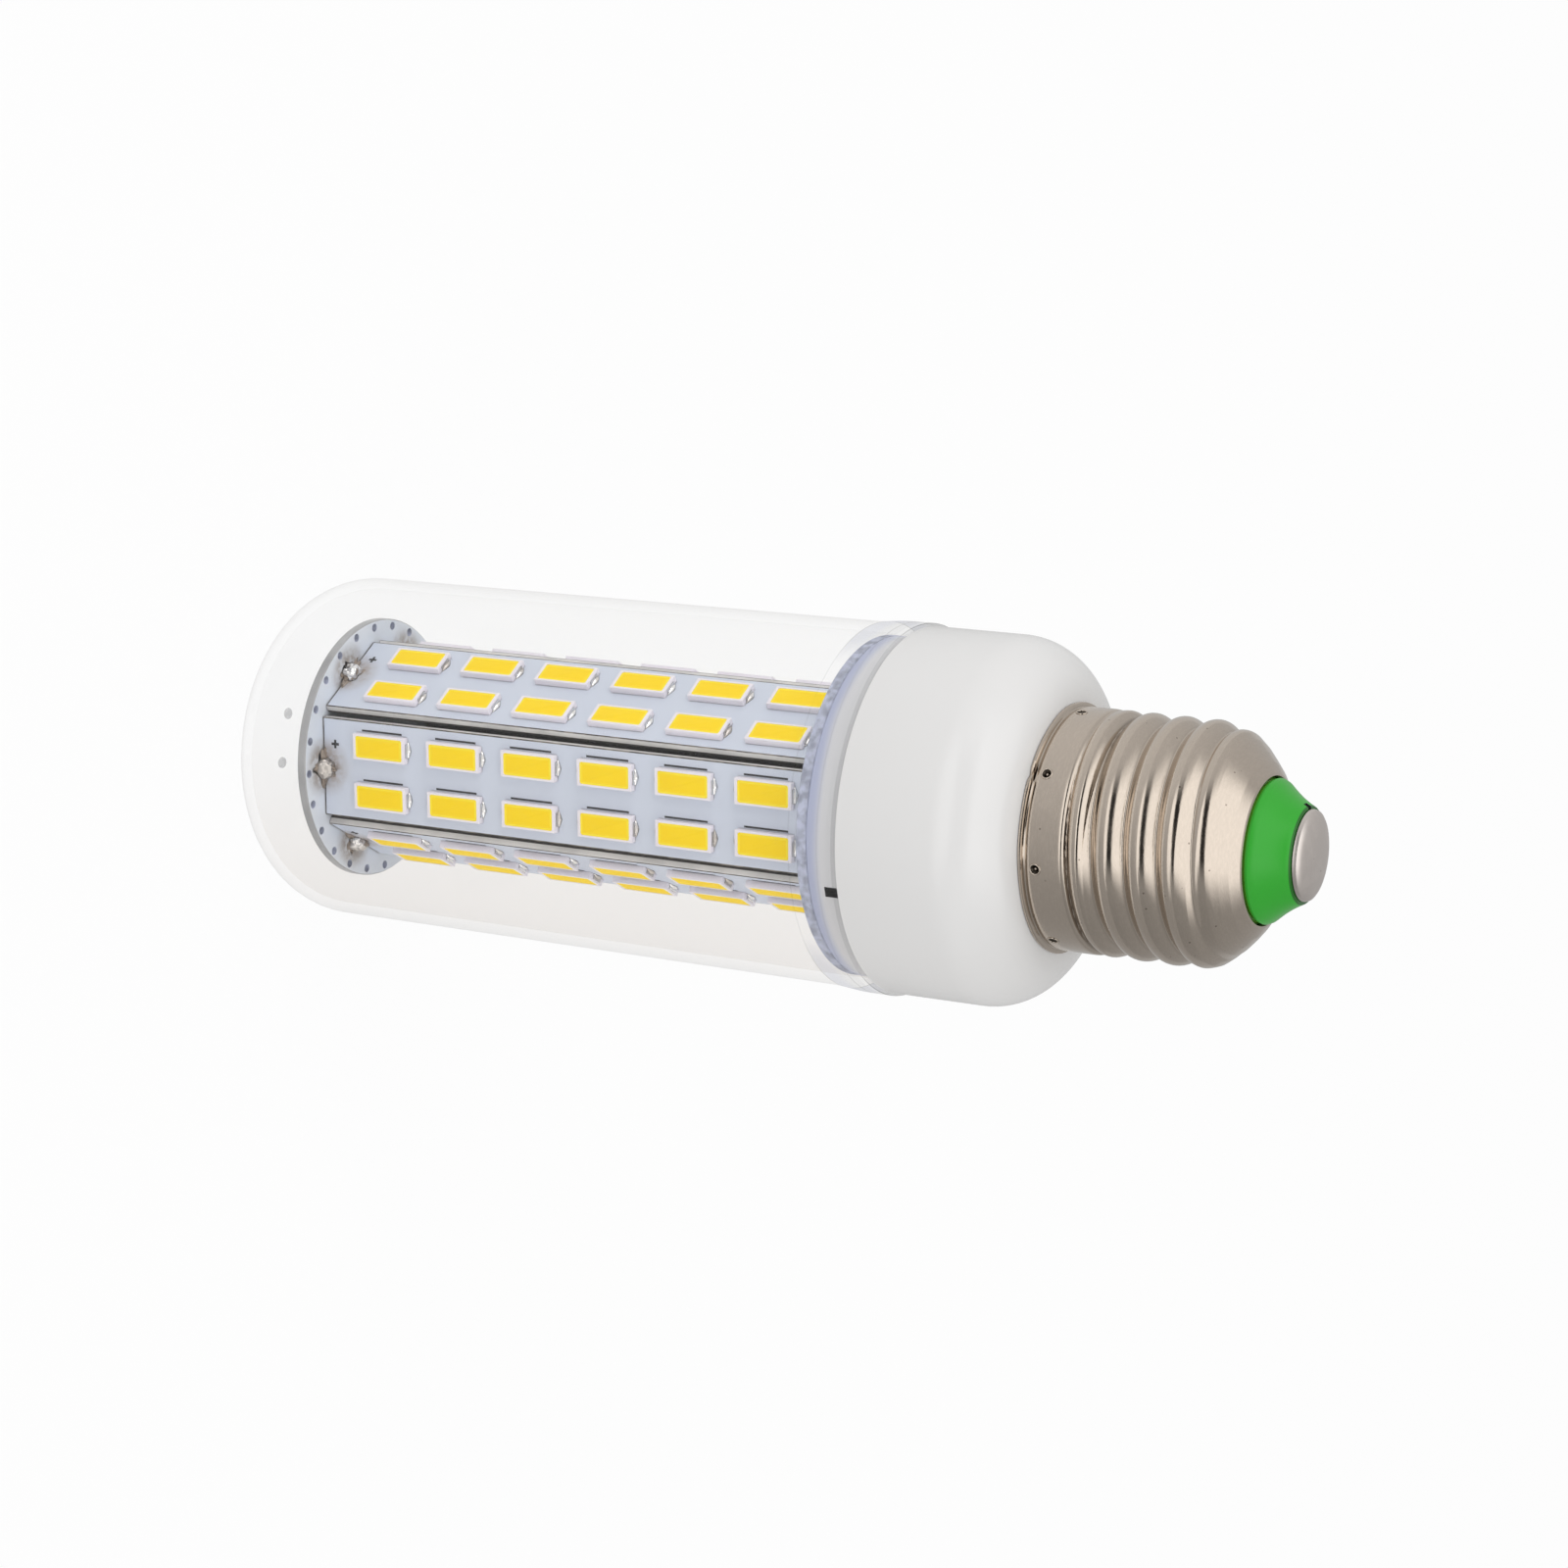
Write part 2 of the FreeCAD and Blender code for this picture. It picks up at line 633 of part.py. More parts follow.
def led_solder():
    """The two wedges of solder at the ends of an LED."""
    face = STRIP_FACE.number
    wedges = []
    for end in (-1, 1):
        near = end * size("led_length") / 2
        far = near + end * size("fillet_length")
        left = -size("fillet_width") / 2
        corners = [FreeCAD.Vector(left, -face, near),
                   FreeCAD.Vector(left, -face - size("fillet_height"), near),
                   FreeCAD.Vector(left, -face, far)]
        side = Part.Face(Part.makePolygon(corners + corners[:1]))
        wedges.append(side.extrude(FreeCAD.Vector(size("fillet_width"), 0, 0)))
    return Part.makeCompound(wedges)


def at_each_led(pattern):
    """Copies of a shape, one for each LED of a strip, as separate solids."""
    copies = []
    for across, up in led_places():
        copy = pattern.copy()
        copy.translate(FreeCAD.Vector(across, 0, up))
        copies.extend(copy.Solids)
    return Part.makeCompound(copies)


def make_leds():
    groups = (("led_bodies", at_each_led(led_package())),
              ("led_phosphors", at_each_led(led_phosphor())),
              ("led_solder", at_each_led(led_solder())))
    for number in range(1, STRIPS + 1):
        for name, group in groups:
            add_shape(group, "%s_%d" % (name, number), around(-STRIP_STEP * (number - 1)))


def make_joints(name, height, upward):
    """Solder lumps in the corner between each strip and a round board."""
    radius = size("joint_radius")
    middle = FreeCAD.Vector(size("joint_offset"), -STRIP_FACE.number, height)
    lump = Part.makeSphere(radius, middle)
    low = height if upward else height - radius
    room = Part.makeBox(2 * radius, radius, radius,
                        FreeCAD.Vector(middle.x - radius, middle.y - radius, low))
    lump = lump.common(room)
    lumps = []
    for number in range(STRIPS):
        copy = lump.copy()
        copy.Placement = around(-STRIP_STEP * number).multiply(copy.Placement)
        lumps.extend(copy.Solids)
    add_shape(Part.makeCompound(lumps), name)


# Driver board and its parts, in the housing and the neck


def driver_pins():
    """Places of the pins through the driver board for each part: across and up the axis."""
    return {
        "film": [(S.film_pins * side / 2, DRIVER_LOW + S.film_level) for side in (-1, 1)],
        "can": [(S.can_place + S.can_pins * side / 2, DRIVER_STEP - S.can_level)
                for side in (-1, 1)],
        "fuse": [(S.fuse_place, DRIVER_STEP + S.fuse_level + S.fuse_pins * side / 2)
                 for side in (-1, 1)],
        "bleeder": [(S.bleeder_place, DRIVER_STEP + S.bleeder_level + S.bleeder_pins * side / 2)
                    for side in (-1, 1)],
    }


def make_driver_board():
    body = doc.addObject("PartDesign::Body", "driver_board")
    outline = new_sketch(body, "driver_outline", "XZ_Plane")
    profile(outline, [
        (DRIVER_EDGE * -1, DRIVER_LOW),
        (DRIVER_EDGE, DRIVER_LOW),
        (DRIVER_EDGE, DRIVER_STEP),
        (TONGUE_EDGE, DRIVER_STEP),
        (TONGUE_EDGE, DRIVER_TOP),
        (TONGUE_EDGE * -1, DRIVER_TOP),
        (TONGUE_EDGE * -1, DRIVER_STEP),
        (DRIVER_EDGE * -1, DRIVER_STEP),
    ])
    plate = pad(body, outline, S.driver_thickness, "driver_plate")
    plate.Midplane = True
    doc.recompute()
    holes = new_sketch(body, "pin_holes", "XZ_Plane", DRIVER_FACE * -1)
    for places in driver_pins().values():
        for across, up in places:
            circle(holes, across, up, S.pin_radius + S.pin_clearance)
    pocket(body, holes, S.driver_thickness, "holes", reverse=True)
    add(body, "driver_board")


def pin(across, up, start, finish):
    """A round pin along Y between two distances from the driver board's middle."""
    low = min(start, finish)
    return Part.makeCylinder(size("pin_radius"), abs(finish - start),
                             FreeCAD.Vector(across, low, up), FreeCAD.Vector(0, 1, 0))


def with_pins(body, places, side, start):
    """A component with its pins through the board. Side is 1 towards +Y and -1 towards -Y."""
    far = -side * (DRIVER_FACE.number + size("pin_reach"))
    pins = [pin(float(across), float(up), side * start, far) for across, up in places]
    return body.fuse(pins).removeSplitter()


def make_film_capacitor():
    face = DRIVER_FACE.number
    low = DRIVER_LOW.number + size("film_level") - size("film_width") / 2
    case = Part.makeBox(size("film_length"), size("film_height"), size("film_width"),
                        FreeCAD.Vector(-size("film_length") / 2, face, low))
    upright = [edge for edge in case.Edges if abs(edge.Curve.Direction.y) > 0.9]
    case = case.makeFillet(size("film_round"), upright)
    add_shape(with_pins(case, driver_pins()["film"], 1, face + size("pin_root")), "film_capacitor")


def make_electrolytic_capacitor():
    face = DRIVER_FACE.number
    middle = FreeCAD.Vector(size("can_place"), -face, DRIVER_STEP.number - size("can_level"))
    can = Part.makeCylinder(size("can_radius"), size("can_length"), middle,
                            FreeCAD.Vector(0, -1, 0))
    rim = [edge for edge in can.Edges if edge.BoundBox.YMax < -face - size("can_length") / 2]
    can = can.makeFillet(size("can_round"), rim)
    add_shape(with_pins(can, driver_pins()["can"], -1, face + size("pin_root")),
              "electrolytic_capacitor")


def make_bridge_rectifier():
    """A small moulded block on four flat feet."""
    face = DRIVER_FACE.number
    middle = FreeCAD.Vector(size("bridge_place"), face, DRIVER_STEP.number + size("bridge_level"))
    stand = size("bridge_stand")
    half = size("bridge_length") / 2
    width = size("foot_width")
    shape = Part.makeBox(size("bridge_length"), size("bridge_height") - stand, size("bridge_width"),
                         middle + FreeCAD.Vector(-half, stand, -size("bridge_width") / 2))
    feet = []
    for left in (-half - size("foot_reach"), 0):
        for place in (-size("foot_place"), size("foot_place")):
            foot = middle + FreeCAD.Vector(left, 0, place - width / 2)
            feet.append(Part.makeBox(half + size("foot_reach"), size("foot_height"), width, foot))
    add_shape(shape.fuse(feet).removeSplitter(), "bridge_rectifier")


def make_resistor(name, key, side):
    """An axial resistor that lies along the board on its two bent pins."""
    radius = size(key + "_radius")
    height = DRIVER_FACE.number + size("resistor_stand") + radius
    half = size(key + "_pins") / 2
    up = FreeCAD.Vector(0, 0, 1)
    middle = FreeCAD.Vector(size(key + "_place"), side * height,
                            DRIVER_STEP.number + size(key + "_level"))
    body = Part.makeCylinder(radius, size(key + "_length"), middle - up * size(key + "_length") / 2,
                             up)
    rod = Part.makeCylinder(size("pin_radius"), 2 * half, middle - up * half, up)
    elbows = [Part.makeSphere(size("pin_radius"), middle + up * end) for end in (-half, half)]
    shape = with_pins(body.fuse([rod] + elbows), driver_pins()[key], side, height)
    add_shape(shape, name)


# Wires: round tubes along straight runs with tangent bends


def wire_along(points, name):
    """An insulated wire through the given points, with round bends."""
    radius = size("wire_bend")
    edges = []
    start = points[0]
    for index in range(1, len(points) - 1):
        before = (points[index] - points[index - 1]).normalize()
        after = (points[index + 1] - points[index]).normalize()
        half_turn = before.getAngle(after) / 2
        cut = radius * math.tan(half_turn)
        enter = points[index] - before * cut
        leave = points[index] + after * cut
        inward = (after - before).normalize()
        middle = points[index] + inward * (radius / math.cos(half_turn) - radius)
        edges.append(Part.LineSegment(start, enter).toShape())
        edges.append(Part.Arc(enter, middle, leave).toShape())
        start = leave
    edges.append(Part.LineSegment(start, points[-1]).toShape())
    path = Part.Wire(edges)
    way = (points[1] - points[0]).normalize()
    section = Part.Wire([Part.Circle(points[0], way, size("wire_radius")).toShape()])
    tube = path.makePipeShell([section], True, True)
    expected = math.pi * size("wire_radius") ** 2 * path.Length
    if abs(tube.Volume - expected) > 0.02 * expected:
        raise ValueError(name + " has the wrong volume")
    add_shape(tube, name)


def make_wires():
    face = DRIVER_FACE.number
    reach = face + 2 * size("wire_bend")
    run = NECK_RIM.number + size("wire_gap") + size("wire_radius")
    # Live: from the tongue of the driver board to the stem of the centre contact
    live = DRIVER_TOP.number - size("live_level")
    over = run + size("wire_bend")
    stem_low = MOUTH.number - size("insulator_depth") - size("insulator_fit")
    wire_along([FreeCAD.Vector(0, face, live), FreeCAD.Vector(0, reach, live),
                FreeCAD.Vector(0, reach, over), FreeCAD.Vector(0, 0, over),
                FreeCAD.Vector(0, 0, stem_low)], "live_wire")
    # Neutral: from the tongue over the neck's rim to the inside of the cap
    neutral = DRIVER_TOP.number - size("neutral_level")
    place = size("neutral_place")
    wall = size("crest_radius") - size("cap_sheet")
    depth = math.sqrt(wall * wall - (place + size("wire_radius")) ** 2)
    wire_along([FreeCAD.Vector(place, -face, neutral), FreeCAD.Vector(place, -reach, neutral),
                FreeCAD.Vector(place, -reach, run), FreeCAD.Vector(place, -depth, run)],
               "neutral_wire")
    # Direct current: from the driver board down to the base board
    start = DRIVER_LOW.number + size("feed_level")
    for name, side in (("positive_wire", 1), ("negative_wire", -1)):
        across = side * (DRIVER_EDGE.number - size("feed_inset"))
        wire_along([FreeCAD.Vector(across, -face, start), FreeCAD.Vector(across, -reach, start),
                    FreeCAD.Vector(across, -reach, BASE_TOP.number)], name)


make_cover()
make_housing()
make_screw_cap()
make_insulator()
make_contact()
make_end_board()
make_base_board()
for strip in range(1, STRIPS + 1):
    make_strip(strip)
make_leds()
make_joints("end_joints", size("end_board_height"), True)
make_joints("base_joints", BASE_LOW.number, False)
make_driver_board()
make_film_capacitor()
make_electrolytic_capacitor()
make_bridge_rectifier()
make_resistor("fuse_resistor", "fuse", 1)
make_resistor("bleed_resistor", "bleeder", -1)
make_wires()

doc.recompute()
for obj in doc.Objects:
    if "Invalid" in obj.State or "Error" in obj.State:
        raise ValueError("%s failed: %s" % (obj.Label, obj.State))
for obj in parts:
    if obj.Shape.isNull() or not obj.Shape.isValid():
        raise ValueError(obj.Label + " has no valid shape")

os.makedirs("parts", exist_ok=True)
for obj in parts:
    obj.Shape.exportStep("parts/%s.step" % obj.Label)
    print("%-24s %2d solids %9.1f mm3" % (obj.Label, len(obj.Shape.Solids), obj.Shape.Volume))
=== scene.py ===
import math

import bmesh
import bpy
from mathutils import Matrix, Vector, noise


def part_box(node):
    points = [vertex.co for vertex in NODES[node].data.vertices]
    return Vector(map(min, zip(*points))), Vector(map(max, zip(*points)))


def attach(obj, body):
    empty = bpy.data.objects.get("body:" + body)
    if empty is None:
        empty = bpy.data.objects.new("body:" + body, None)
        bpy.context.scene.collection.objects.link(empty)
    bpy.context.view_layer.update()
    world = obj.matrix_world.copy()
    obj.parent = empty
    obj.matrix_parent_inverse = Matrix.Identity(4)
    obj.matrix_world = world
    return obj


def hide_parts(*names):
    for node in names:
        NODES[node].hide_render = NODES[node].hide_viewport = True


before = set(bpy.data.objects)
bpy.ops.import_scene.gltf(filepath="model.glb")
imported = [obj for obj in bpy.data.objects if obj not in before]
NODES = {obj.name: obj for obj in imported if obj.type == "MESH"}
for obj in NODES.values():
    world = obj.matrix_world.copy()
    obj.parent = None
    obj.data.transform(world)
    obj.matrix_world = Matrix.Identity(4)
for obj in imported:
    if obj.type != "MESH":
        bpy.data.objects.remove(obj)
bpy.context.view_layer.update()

bl_info = {
    "name": "Corn LED Bulb",
    "version": (1, 0, 0),
    "blender": (4, 5, 0),
    "location": "View3D > Sidebar > Bulb",
    "description": "Models the visible pieces of a corn LED bulb over its CAD solids",
    "category": "Object",
}

MM = 0.001
STRIPS = range(1, 7)
STRIP_TURN = math.radians(-60)
ROWS, COLUMNS = 6, 2

# Radii in millimetres that more than one step keeps to
SPIGOT = 18.7
CAP_MOUTH = 7.9
SHOULDER_CENTRE, SHOULDER_ROUND = 12.8, 7.3
COVER_CENTRE, COVER_ROUND = 11.15, 8.6

# The photograph's camera, fitted to its outlines and to the middles of its LED windows
CAMERA_PLACE = (-0.09487, -0.36411, 0.25954)
CAMERA_RIGHT = (0.00350, 0.47312, 0.88099)
CAMERA_DOWN = (0.97527, -0.19633, 0.10156)
CAMERA_AHEAD = (0.22101, 0.85884, -0.46211)
CAMERA_LENS, CAMERA_SENSOR = 87.84, 36

# Directions along which the mirrored surroundings change
TO_CAMERA = (-0.221, -0.859, 0.462)
OVER_CAMERA = (0.115, 0.447, 0.887)
TOWARDS = (-0.249, -0.969, 0)
ACROSS = (0.969, -0.249, 0)


def low(node):
    """Height of a node's lowest point in metres."""
    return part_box(node)[0][2]


def high(node):
    """Height of a node's highest point in metres."""
    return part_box(node)[1][2]


def limit(value):
    """A value kept between 0 and 1."""
    return min(max(value, 0), 1)


def ease(value):
    """A value kept between 0 and 1 that starts and ends softly."""
    part = limit(value)
    return part * part * (3 - 2 * part)


# Sizes and colours that a user would change


def length(name, words, default):
    """A length in metres for the panel."""
    return bpy.props.FloatProperty(name=name, description=words, default=default, min=0.0,
                                   unit="LENGTH", precision=5)


def colour(name, words, default):
    """A colour for the panel."""
    return bpy.props.FloatVectorProperty(name=name, description=words, default=default, size=4,
                                         min=0.0, max=1.0, subtype="COLOR")


class BulbSizes(bpy.types.PropertyGroup):
    """Sizes of the bulb's visible pieces."""
    cover_wall: length("Cover wall", "Wall of the clear cover", 0.0012)
    strip_face: length("Strip face", "From the axis to the outer face of a strip", 0.011309)
    strip_width: length("Strip width", "Width of a strip", 0.0115)
    led_length: length("LED length", "Length of an LED along the axis", 0.007)
    led_width: length("LED width", "Width of an LED", 0.003)
    led_height: length("LED height", "Height of an LED above its strip", 0.0008)
    window_length: length("Window length", "Length of the yellow window", 0.00625)
    window_width: length("Window width", "Width of the yellow window", 0.0025)
    led_first: length("First LED", "Height of the first row of LEDs", 0.01785)
    led_pitch: length("LED pitch", "Distance between two rows of LEDs", 0.00993)
    led_column: length("LED column", "From a strip's middle to a column", 0.0029)
    thread_pitch: length("Thread pitch", "Rise of the cap's thread in a turn", 0.003629)
    thread_depth: length("Thread depth", "Depth of the cap's thread", 0.0012)
    crest_radius: length("Crest radius", "Radius of the thread's crests", 0.0131)
    sheet: length("Cap sheet", "Thickness of the cap's metal", 0.0003)


class BulbColours(bpy.types.PropertyGroup):
    """Colours of the bulb's finishes."""
    plastic: colour("Housing", "Glossy white plastic", (0.84, 0.835, 0.83, 1.0))
    mask: colour("Solder mask", "Pale coating of the strips", (0.59, 0.635, 0.735, 1.0))
    package: colour("LED body", "White plastic of the LEDs", (0.88, 0.85, 0.87, 1.0))
    phosphor: colour("Phosphor", "Yellow window of the LEDs", (0.90, 0.64, 0.002, 1.0))
    nickel: colour("Nickel", "Warm plating of the cap", (0.66, 0.575, 0.49, 1.0))
    insulator: colour("Insulator", "Green of the cap's insulator", (0.025, 0.38, 0.025, 1.0))
    solder: colour("Solder", "Tin of the joints", (0.80, 0.79, 0.78, 1.0))


def sizes():
    """The sizes that are set in the panel."""
    return bpy.context.scene.bulb_sizes


def colours():
    """The colours that are set in the panel."""
    return bpy.context.scene.bulb_colours


# Working with meshes as by hand


def put_down():
    """Leave edit mode and deselect everything."""
    if bpy.context.object and bpy.context.object.mode != "OBJECT":
        bpy.ops.object.mode_set(mode="OBJECT")
    bpy.ops.object.select_all(action="DESELECT")


def take(*pieces):
    """Select these objects alone. The first is active."""
    put_down()
    for piece in pieces:
        piece.select_set(True)
    bpy.context.view_layer.objects.active = pieces[0]


def open_mesh(piece, action="DESELECT"):
    """Go into edit mode with nothing selected, or everything."""
    take(piece)
    bpy.ops.object.mode_set(mode="EDIT")
    bpy.ops.mesh.select_all(action=action)


def pick_faces(piece, test):
    """In edit mode, select the faces whose centre and normal pass a test."""
    bpy.ops.mesh.select_mode(type="FACE")
    bpy.ops.mesh.select_all(action="DESELECT")
    mesh = bmesh.from_edit_mesh(piece.data)
    for face in mesh.faces:
        face.select_set(bool(test(face.calc_center_median(), face.normal)))
    bmesh.update_edit_mesh(piece.data)


def pick_edges(piece, test):
    """In edit mode, select the edges whose two ends pass a test."""
    bpy.ops.mesh.select_mode(type="EDGE")
    bpy.ops.mesh.select_all(action="DESELECT")
    mesh = bmesh.from_edit_mesh(piece.data)
    for edge in mesh.edges:
        edge.select_set(bool(test(edge.verts[0].co, edge.verts[1].co)))
    bmesh.update_edit_mesh(piece.data)


def close_mesh(angle=30):
    """Leave edit mode and shade smooth up to an angle."""
    bpy.ops.object.mode_set(mode="OBJECT")
    bpy.ops.object.shade_smooth_by_angle(angle=math.radians(angle))


def close_smooth(piece, angle=30):
    """Shade a piece smooth up to an angle."""
    take(piece)
    bpy.ops.object.shade_smooth_by_angle(angle=math.radians(angle))


def mend(piece, gap, angle=30):
    """Merge points within a gap in millimetres, and turn the faces outwards."""
    open_mesh(piece, "SELECT")
    bpy.ops.mesh.remove_doubles(threshold=gap * MM)
    bpy.ops.mesh.normals_make_consistent(inside=False)
    close_mesh(angle)


def settle(piece):
    """Put a piece's place into its mesh."""
    take(piece)
    bpy.ops.object.transform_apply(location=True, rotation=True, scale=True)
    return piece


def apply_modifiers(piece):
    """Apply all the modifiers of a piece."""
    take(piece)
    for modifier in list(piece.modifiers):
        bpy.ops.object.modifier_apply(modifier=modifier.name)
    return piece


def cut_out(piece, cutter):
    """Cut one piece out of another, and remove it."""
    cut = piece.modifiers.new("Cut", "BOOLEAN")
    cut.object = cutter
    cut.solver = "EXACT"
    apply_modifiers(piece)
    bpy.data.objects.remove(cutter)
    close_smooth(piece)


def copy_of(piece, name, turn=0.0):
    """A copy with its own mesh, turned about the bulb's axis."""
    take(piece)
    bpy.ops.object.duplicate(linked=False)
    other = bpy.context.object
    other.name = name
    other.rotation_euler.z = turn
    return settle(other)


def join(name, pieces):
    """Join pieces into one with a new name."""
    take(*pieces)
    bpy.ops.object.join()
    bpy.context.object.name = name
    return bpy.context.object


def ring_of(piece, name, angles):
    """Copies of a piece at these angles in degrees, joined. The piece itself goes."""
    copies = [copy_of(piece, "%s_%d" % (name, number), math.radians(angle))
              for number, angle in enumerate(angles)]
    bpy.data.objects.remove(piece)
    return join(name, copies)


def sort_faces(piece, choose):
    """Give each face the material slot that choose returns for it."""
    for polygon in piece.data.polygons:
        polygon.material_index = int(choose(polygon))


def ride(piece, slot, *nodes):
    """Tell the frame what a finished piece rides on, and hide the nodes that it replaces. The slot
    is not used.
    """
    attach(piece, "root")
    if nodes:
        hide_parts(*nodes)


def arc(across, up, radius, start, finish, steps):
    """Points of an arc of an outline, with angles in degrees from outwards towards the cap."""
    points = []
    for step in range(steps + 1):
        angle = math.radians(start + (finish - start) * step / steps)
        points.append((across + radius * math.cos(angle), up + radius * math.sin(angle)))
    return points


def turned(name, outline, steps, closed=True):
    """A piece turned about the bulb's axis from points (radius, height) in millimetres."""
    put_down()
    bpy.ops.mesh.primitive_plane_add(size=MM, location=(0, 0, 0))
    piece = bpy.context.object
    piece.name = name
    bpy.ops.object.mode_set(mode="EDIT")
    bpy.ops.mesh.select_all(action="SELECT")
    bpy.ops.mesh.merge(type="CENTER")
    spots = [Vector((radius * MM, 0, height * MM)) for radius, height in outline]
    bpy.ops.transform.translate(value=tuple(spots[0]))
    for start, finish in zip(spots, spots[1:]):
        bpy.ops.mesh.extrude_region_move(TRANSFORM_OT_translate={"value": tuple(finish - start)})
    if closed:
        mesh = bmesh.from_edit_mesh(piece.data)
        mesh.verts.ensure_lookup_table()
        for vert in mesh.verts:
            vert.select_set(len(vert.link_edges) == 1)
        bmesh.update_edit_mesh(piece.data)
        bpy.ops.mesh.edge_face_add()
    bpy.ops.mesh.select_all(action="SELECT")
    bpy.ops.mesh.spin(steps=steps, angle=2 * math.pi, center=(0, 0, 0), axis=(0, 0, 1))
    mend(piece, 0.001)
    return piece


def block(name, corner_low, corner_high, round_off=0.0, segments=2):
    """A box between two corners in metres, with its edges rounded off."""
    put_down()
    start, finish = Vector(corner_low), Vector(corner_high)
    bpy.ops.mesh.primitive_cube_add(size=1, location=(start + finish) / 2, scale=finish - start)
    piece = bpy.context.object
    piece.name = name
    settle(piece)
    if round_off:
        open_mesh(piece, "SELECT")
        bpy.ops.mesh.bevel(offset=round_off, segments=segments, affect="EDGES")
        close_mesh(40)
    return piece


def rod(name, radius, start, finish, steps=24):
    """A round rod between two points in metres."""
    put_down()
    start, finish = Vector(start), Vector(finish)
    way = finish - start
    bpy.ops.mesh.primitive_cylinder_add(vertices=steps, radius=radius, depth=way.length,
                                        location=(start + finish) / 2,
                                        rotation=way.to_track_quat("Z", "Y").to_euler())
    bpy.context.object.name = name
    return settle(bpy.context.object)


def ring(major, minor, spot, rotation=(0, 0, 0), major_steps=32, minor_steps=12):
    """A round ring, with its two radii in metres."""
    put_down()
    bpy.ops.mesh.primitive_torus_add(major_radius=major, minor_radius=minor,
                                     major_segments=major_steps, minor_segments=minor_steps,
                                     location=spot, rotation=rotation)
    return settle(bpy.context.object)


# Shader nodes


def place(tree, kind, inputs=None, **settings):
    """A node, with its inputs given as values or as the outputs that feed them."""
    item = tree.nodes.new("ShaderNode" + kind)
    for key, value in settings.items():
        setattr(item, key, value)
    for key, value in (inputs or {}).items():
        socket = item.inputs[key]
        if isinstance(value, bpy.types.NodeSocket):
            tree.links.new(value, socket)
        else:
            socket.default_value = value
    item.location = (220 * (len(tree.nodes) % 8), -260 * (len(tree.nodes) // 8))
    return item


def maths(tree, operation, first, second=0.0, third=0.0, clamp=False):
    """The result of a Math node."""
    item = place(tree, "Math", {0: first, 1: second, 2: third}, operation=operation,
                 use_clamp=clamp)
    return item.outputs[0]


def times(tree, first, second):
    """The product of two values."""
    return maths(tree, "MULTIPLY", first, second)


def line(tree, value, slope, start, clamp=False):
    """A straight line: a start, and a slope for each unit of a value."""
    return maths(tree, "MULTIPLY_ADD", value, slope, start, clamp)


def vectors(tree, operation, first, second=(0, 0, 0)):
    """A Vector Math node."""
    return place(tree, "VectorMath", {0: first, 1: second}, operation=operation)


def axes(tree, vector):
    """The X, Y and Z of a vector."""
    return place(tree, "SeparateXYZ", {"Vector": vector}).outputs


def fade(tree, value, start, finish):
    """A soft mask that runs from 0 at start to 1 at finish."""
    item = place(tree, "MapRange", {"Value": value, "From Min": start, "From Max": finish},
                 interpolation_type="SMOOTHSTEP", clamp=True)
    return item.outputs["Result"]


def blend(tree, factor, first, second):
    """Two colours mixed by a mask."""
    item = place(tree, "Mix", {"Factor": factor, 6: first, 7: second}, data_type="RGBA")
    return item.outputs[2]


def crevices(tree, reach, outside, inside, samples=8):
    """A mask of narrow places within a reach in metres, between two shares of open sky."""
    sky = place(tree, "AmbientOcclusion", {"Distance": reach}, samples=samples)
    return fade(tree, sky.outputs["AO"], outside, inside)


def clouds(tree, vector, scale, detail, **plain):
    """Plain noise."""
    inputs = {"Vector": vector, "Scale": scale, "Detail": detail}
    inputs.update(plain)
    return place(tree, "TexNoise", inputs).outputs["Fac"]


def tinted(base, red, green, blue):
    """A colour with its channels multiplied, opaque."""
    return tuple(min(part * share, 1.0) for part, share in zip(base, (red, green, blue))) + (1.0,)


def new_group(name, inputs, outputs):
    """An empty node group. Its inputs are (name, kind, default), its outputs (name, kind)."""
    group = bpy.data.node_groups.new(name, "ShaderNodeTree")
    for key, kind, default in inputs:
        socket = group.interface.new_socket(key, in_out="INPUT", socket_type="NodeSocket" + kind)
        if default is not None:
            socket.default_value = default
    for key, kind in outputs:
        group.interface.new_socket(key, in_out="OUTPUT", socket_type="NodeSocket" + kind)
    given = group.nodes.new("NodeGroupInput").outputs
    return group, given, group.nodes.new("NodeGroupOutput")


def use_group(tree, name, inputs):
    """The outputs of a group that is placed in a material."""
    return place(tree, "Group", inputs, node_tree=bpy.data.node_groups[name]).outputs


def grain_of(tree, spot, scale):
    """The fine height and the wide patches of the mould grain."""
    grain = use_group(tree, "Mould grain", {"Vector": spot, "Scale": scale})
    return grain["Height"], grain["Patch"]


def new_finish(name, **plain):
    """A material with one shader. Its plain values are set by name."""
    material = bpy.data.materials.new(name)
    material.use_nodes = True
    tree = material.node_tree
    tree.nodes.clear()
    shader = tree.nodes.new("ShaderNodeBsdfPrincipled")
    out = tree.nodes.new("ShaderNodeOutputMaterial")
    tree.links.new(shader.outputs["BSDF"], out.inputs["Surface"])
    for key, value in plain.items():
        shader.inputs[key.replace("_", " ")].default_value = value
    spot = place(tree, "TexCoord").outputs["Object"]
    return material, tree, shader, spot


def feed(tree, shader, **sockets):
    """Link masks, values and colours to the shader."""
    for key, value in sockets.items():
        tree.links.new(value, shader.inputs[key.replace("_", " ")])


def bump(tree, shader, height, distance, strength):
    """Feed the shader's normal from a height, over a distance in metres."""
    item = place(tree, "Bump", {"Height": height, "Distance": distance, "Strength": strength})
    tree.links.new(item.outputs["Normal"], shader.inputs["Normal"])


def make_groups():
    """Effects that several finishes share."""
    mould_grain()
    hair_scratches()
    flux_stain()


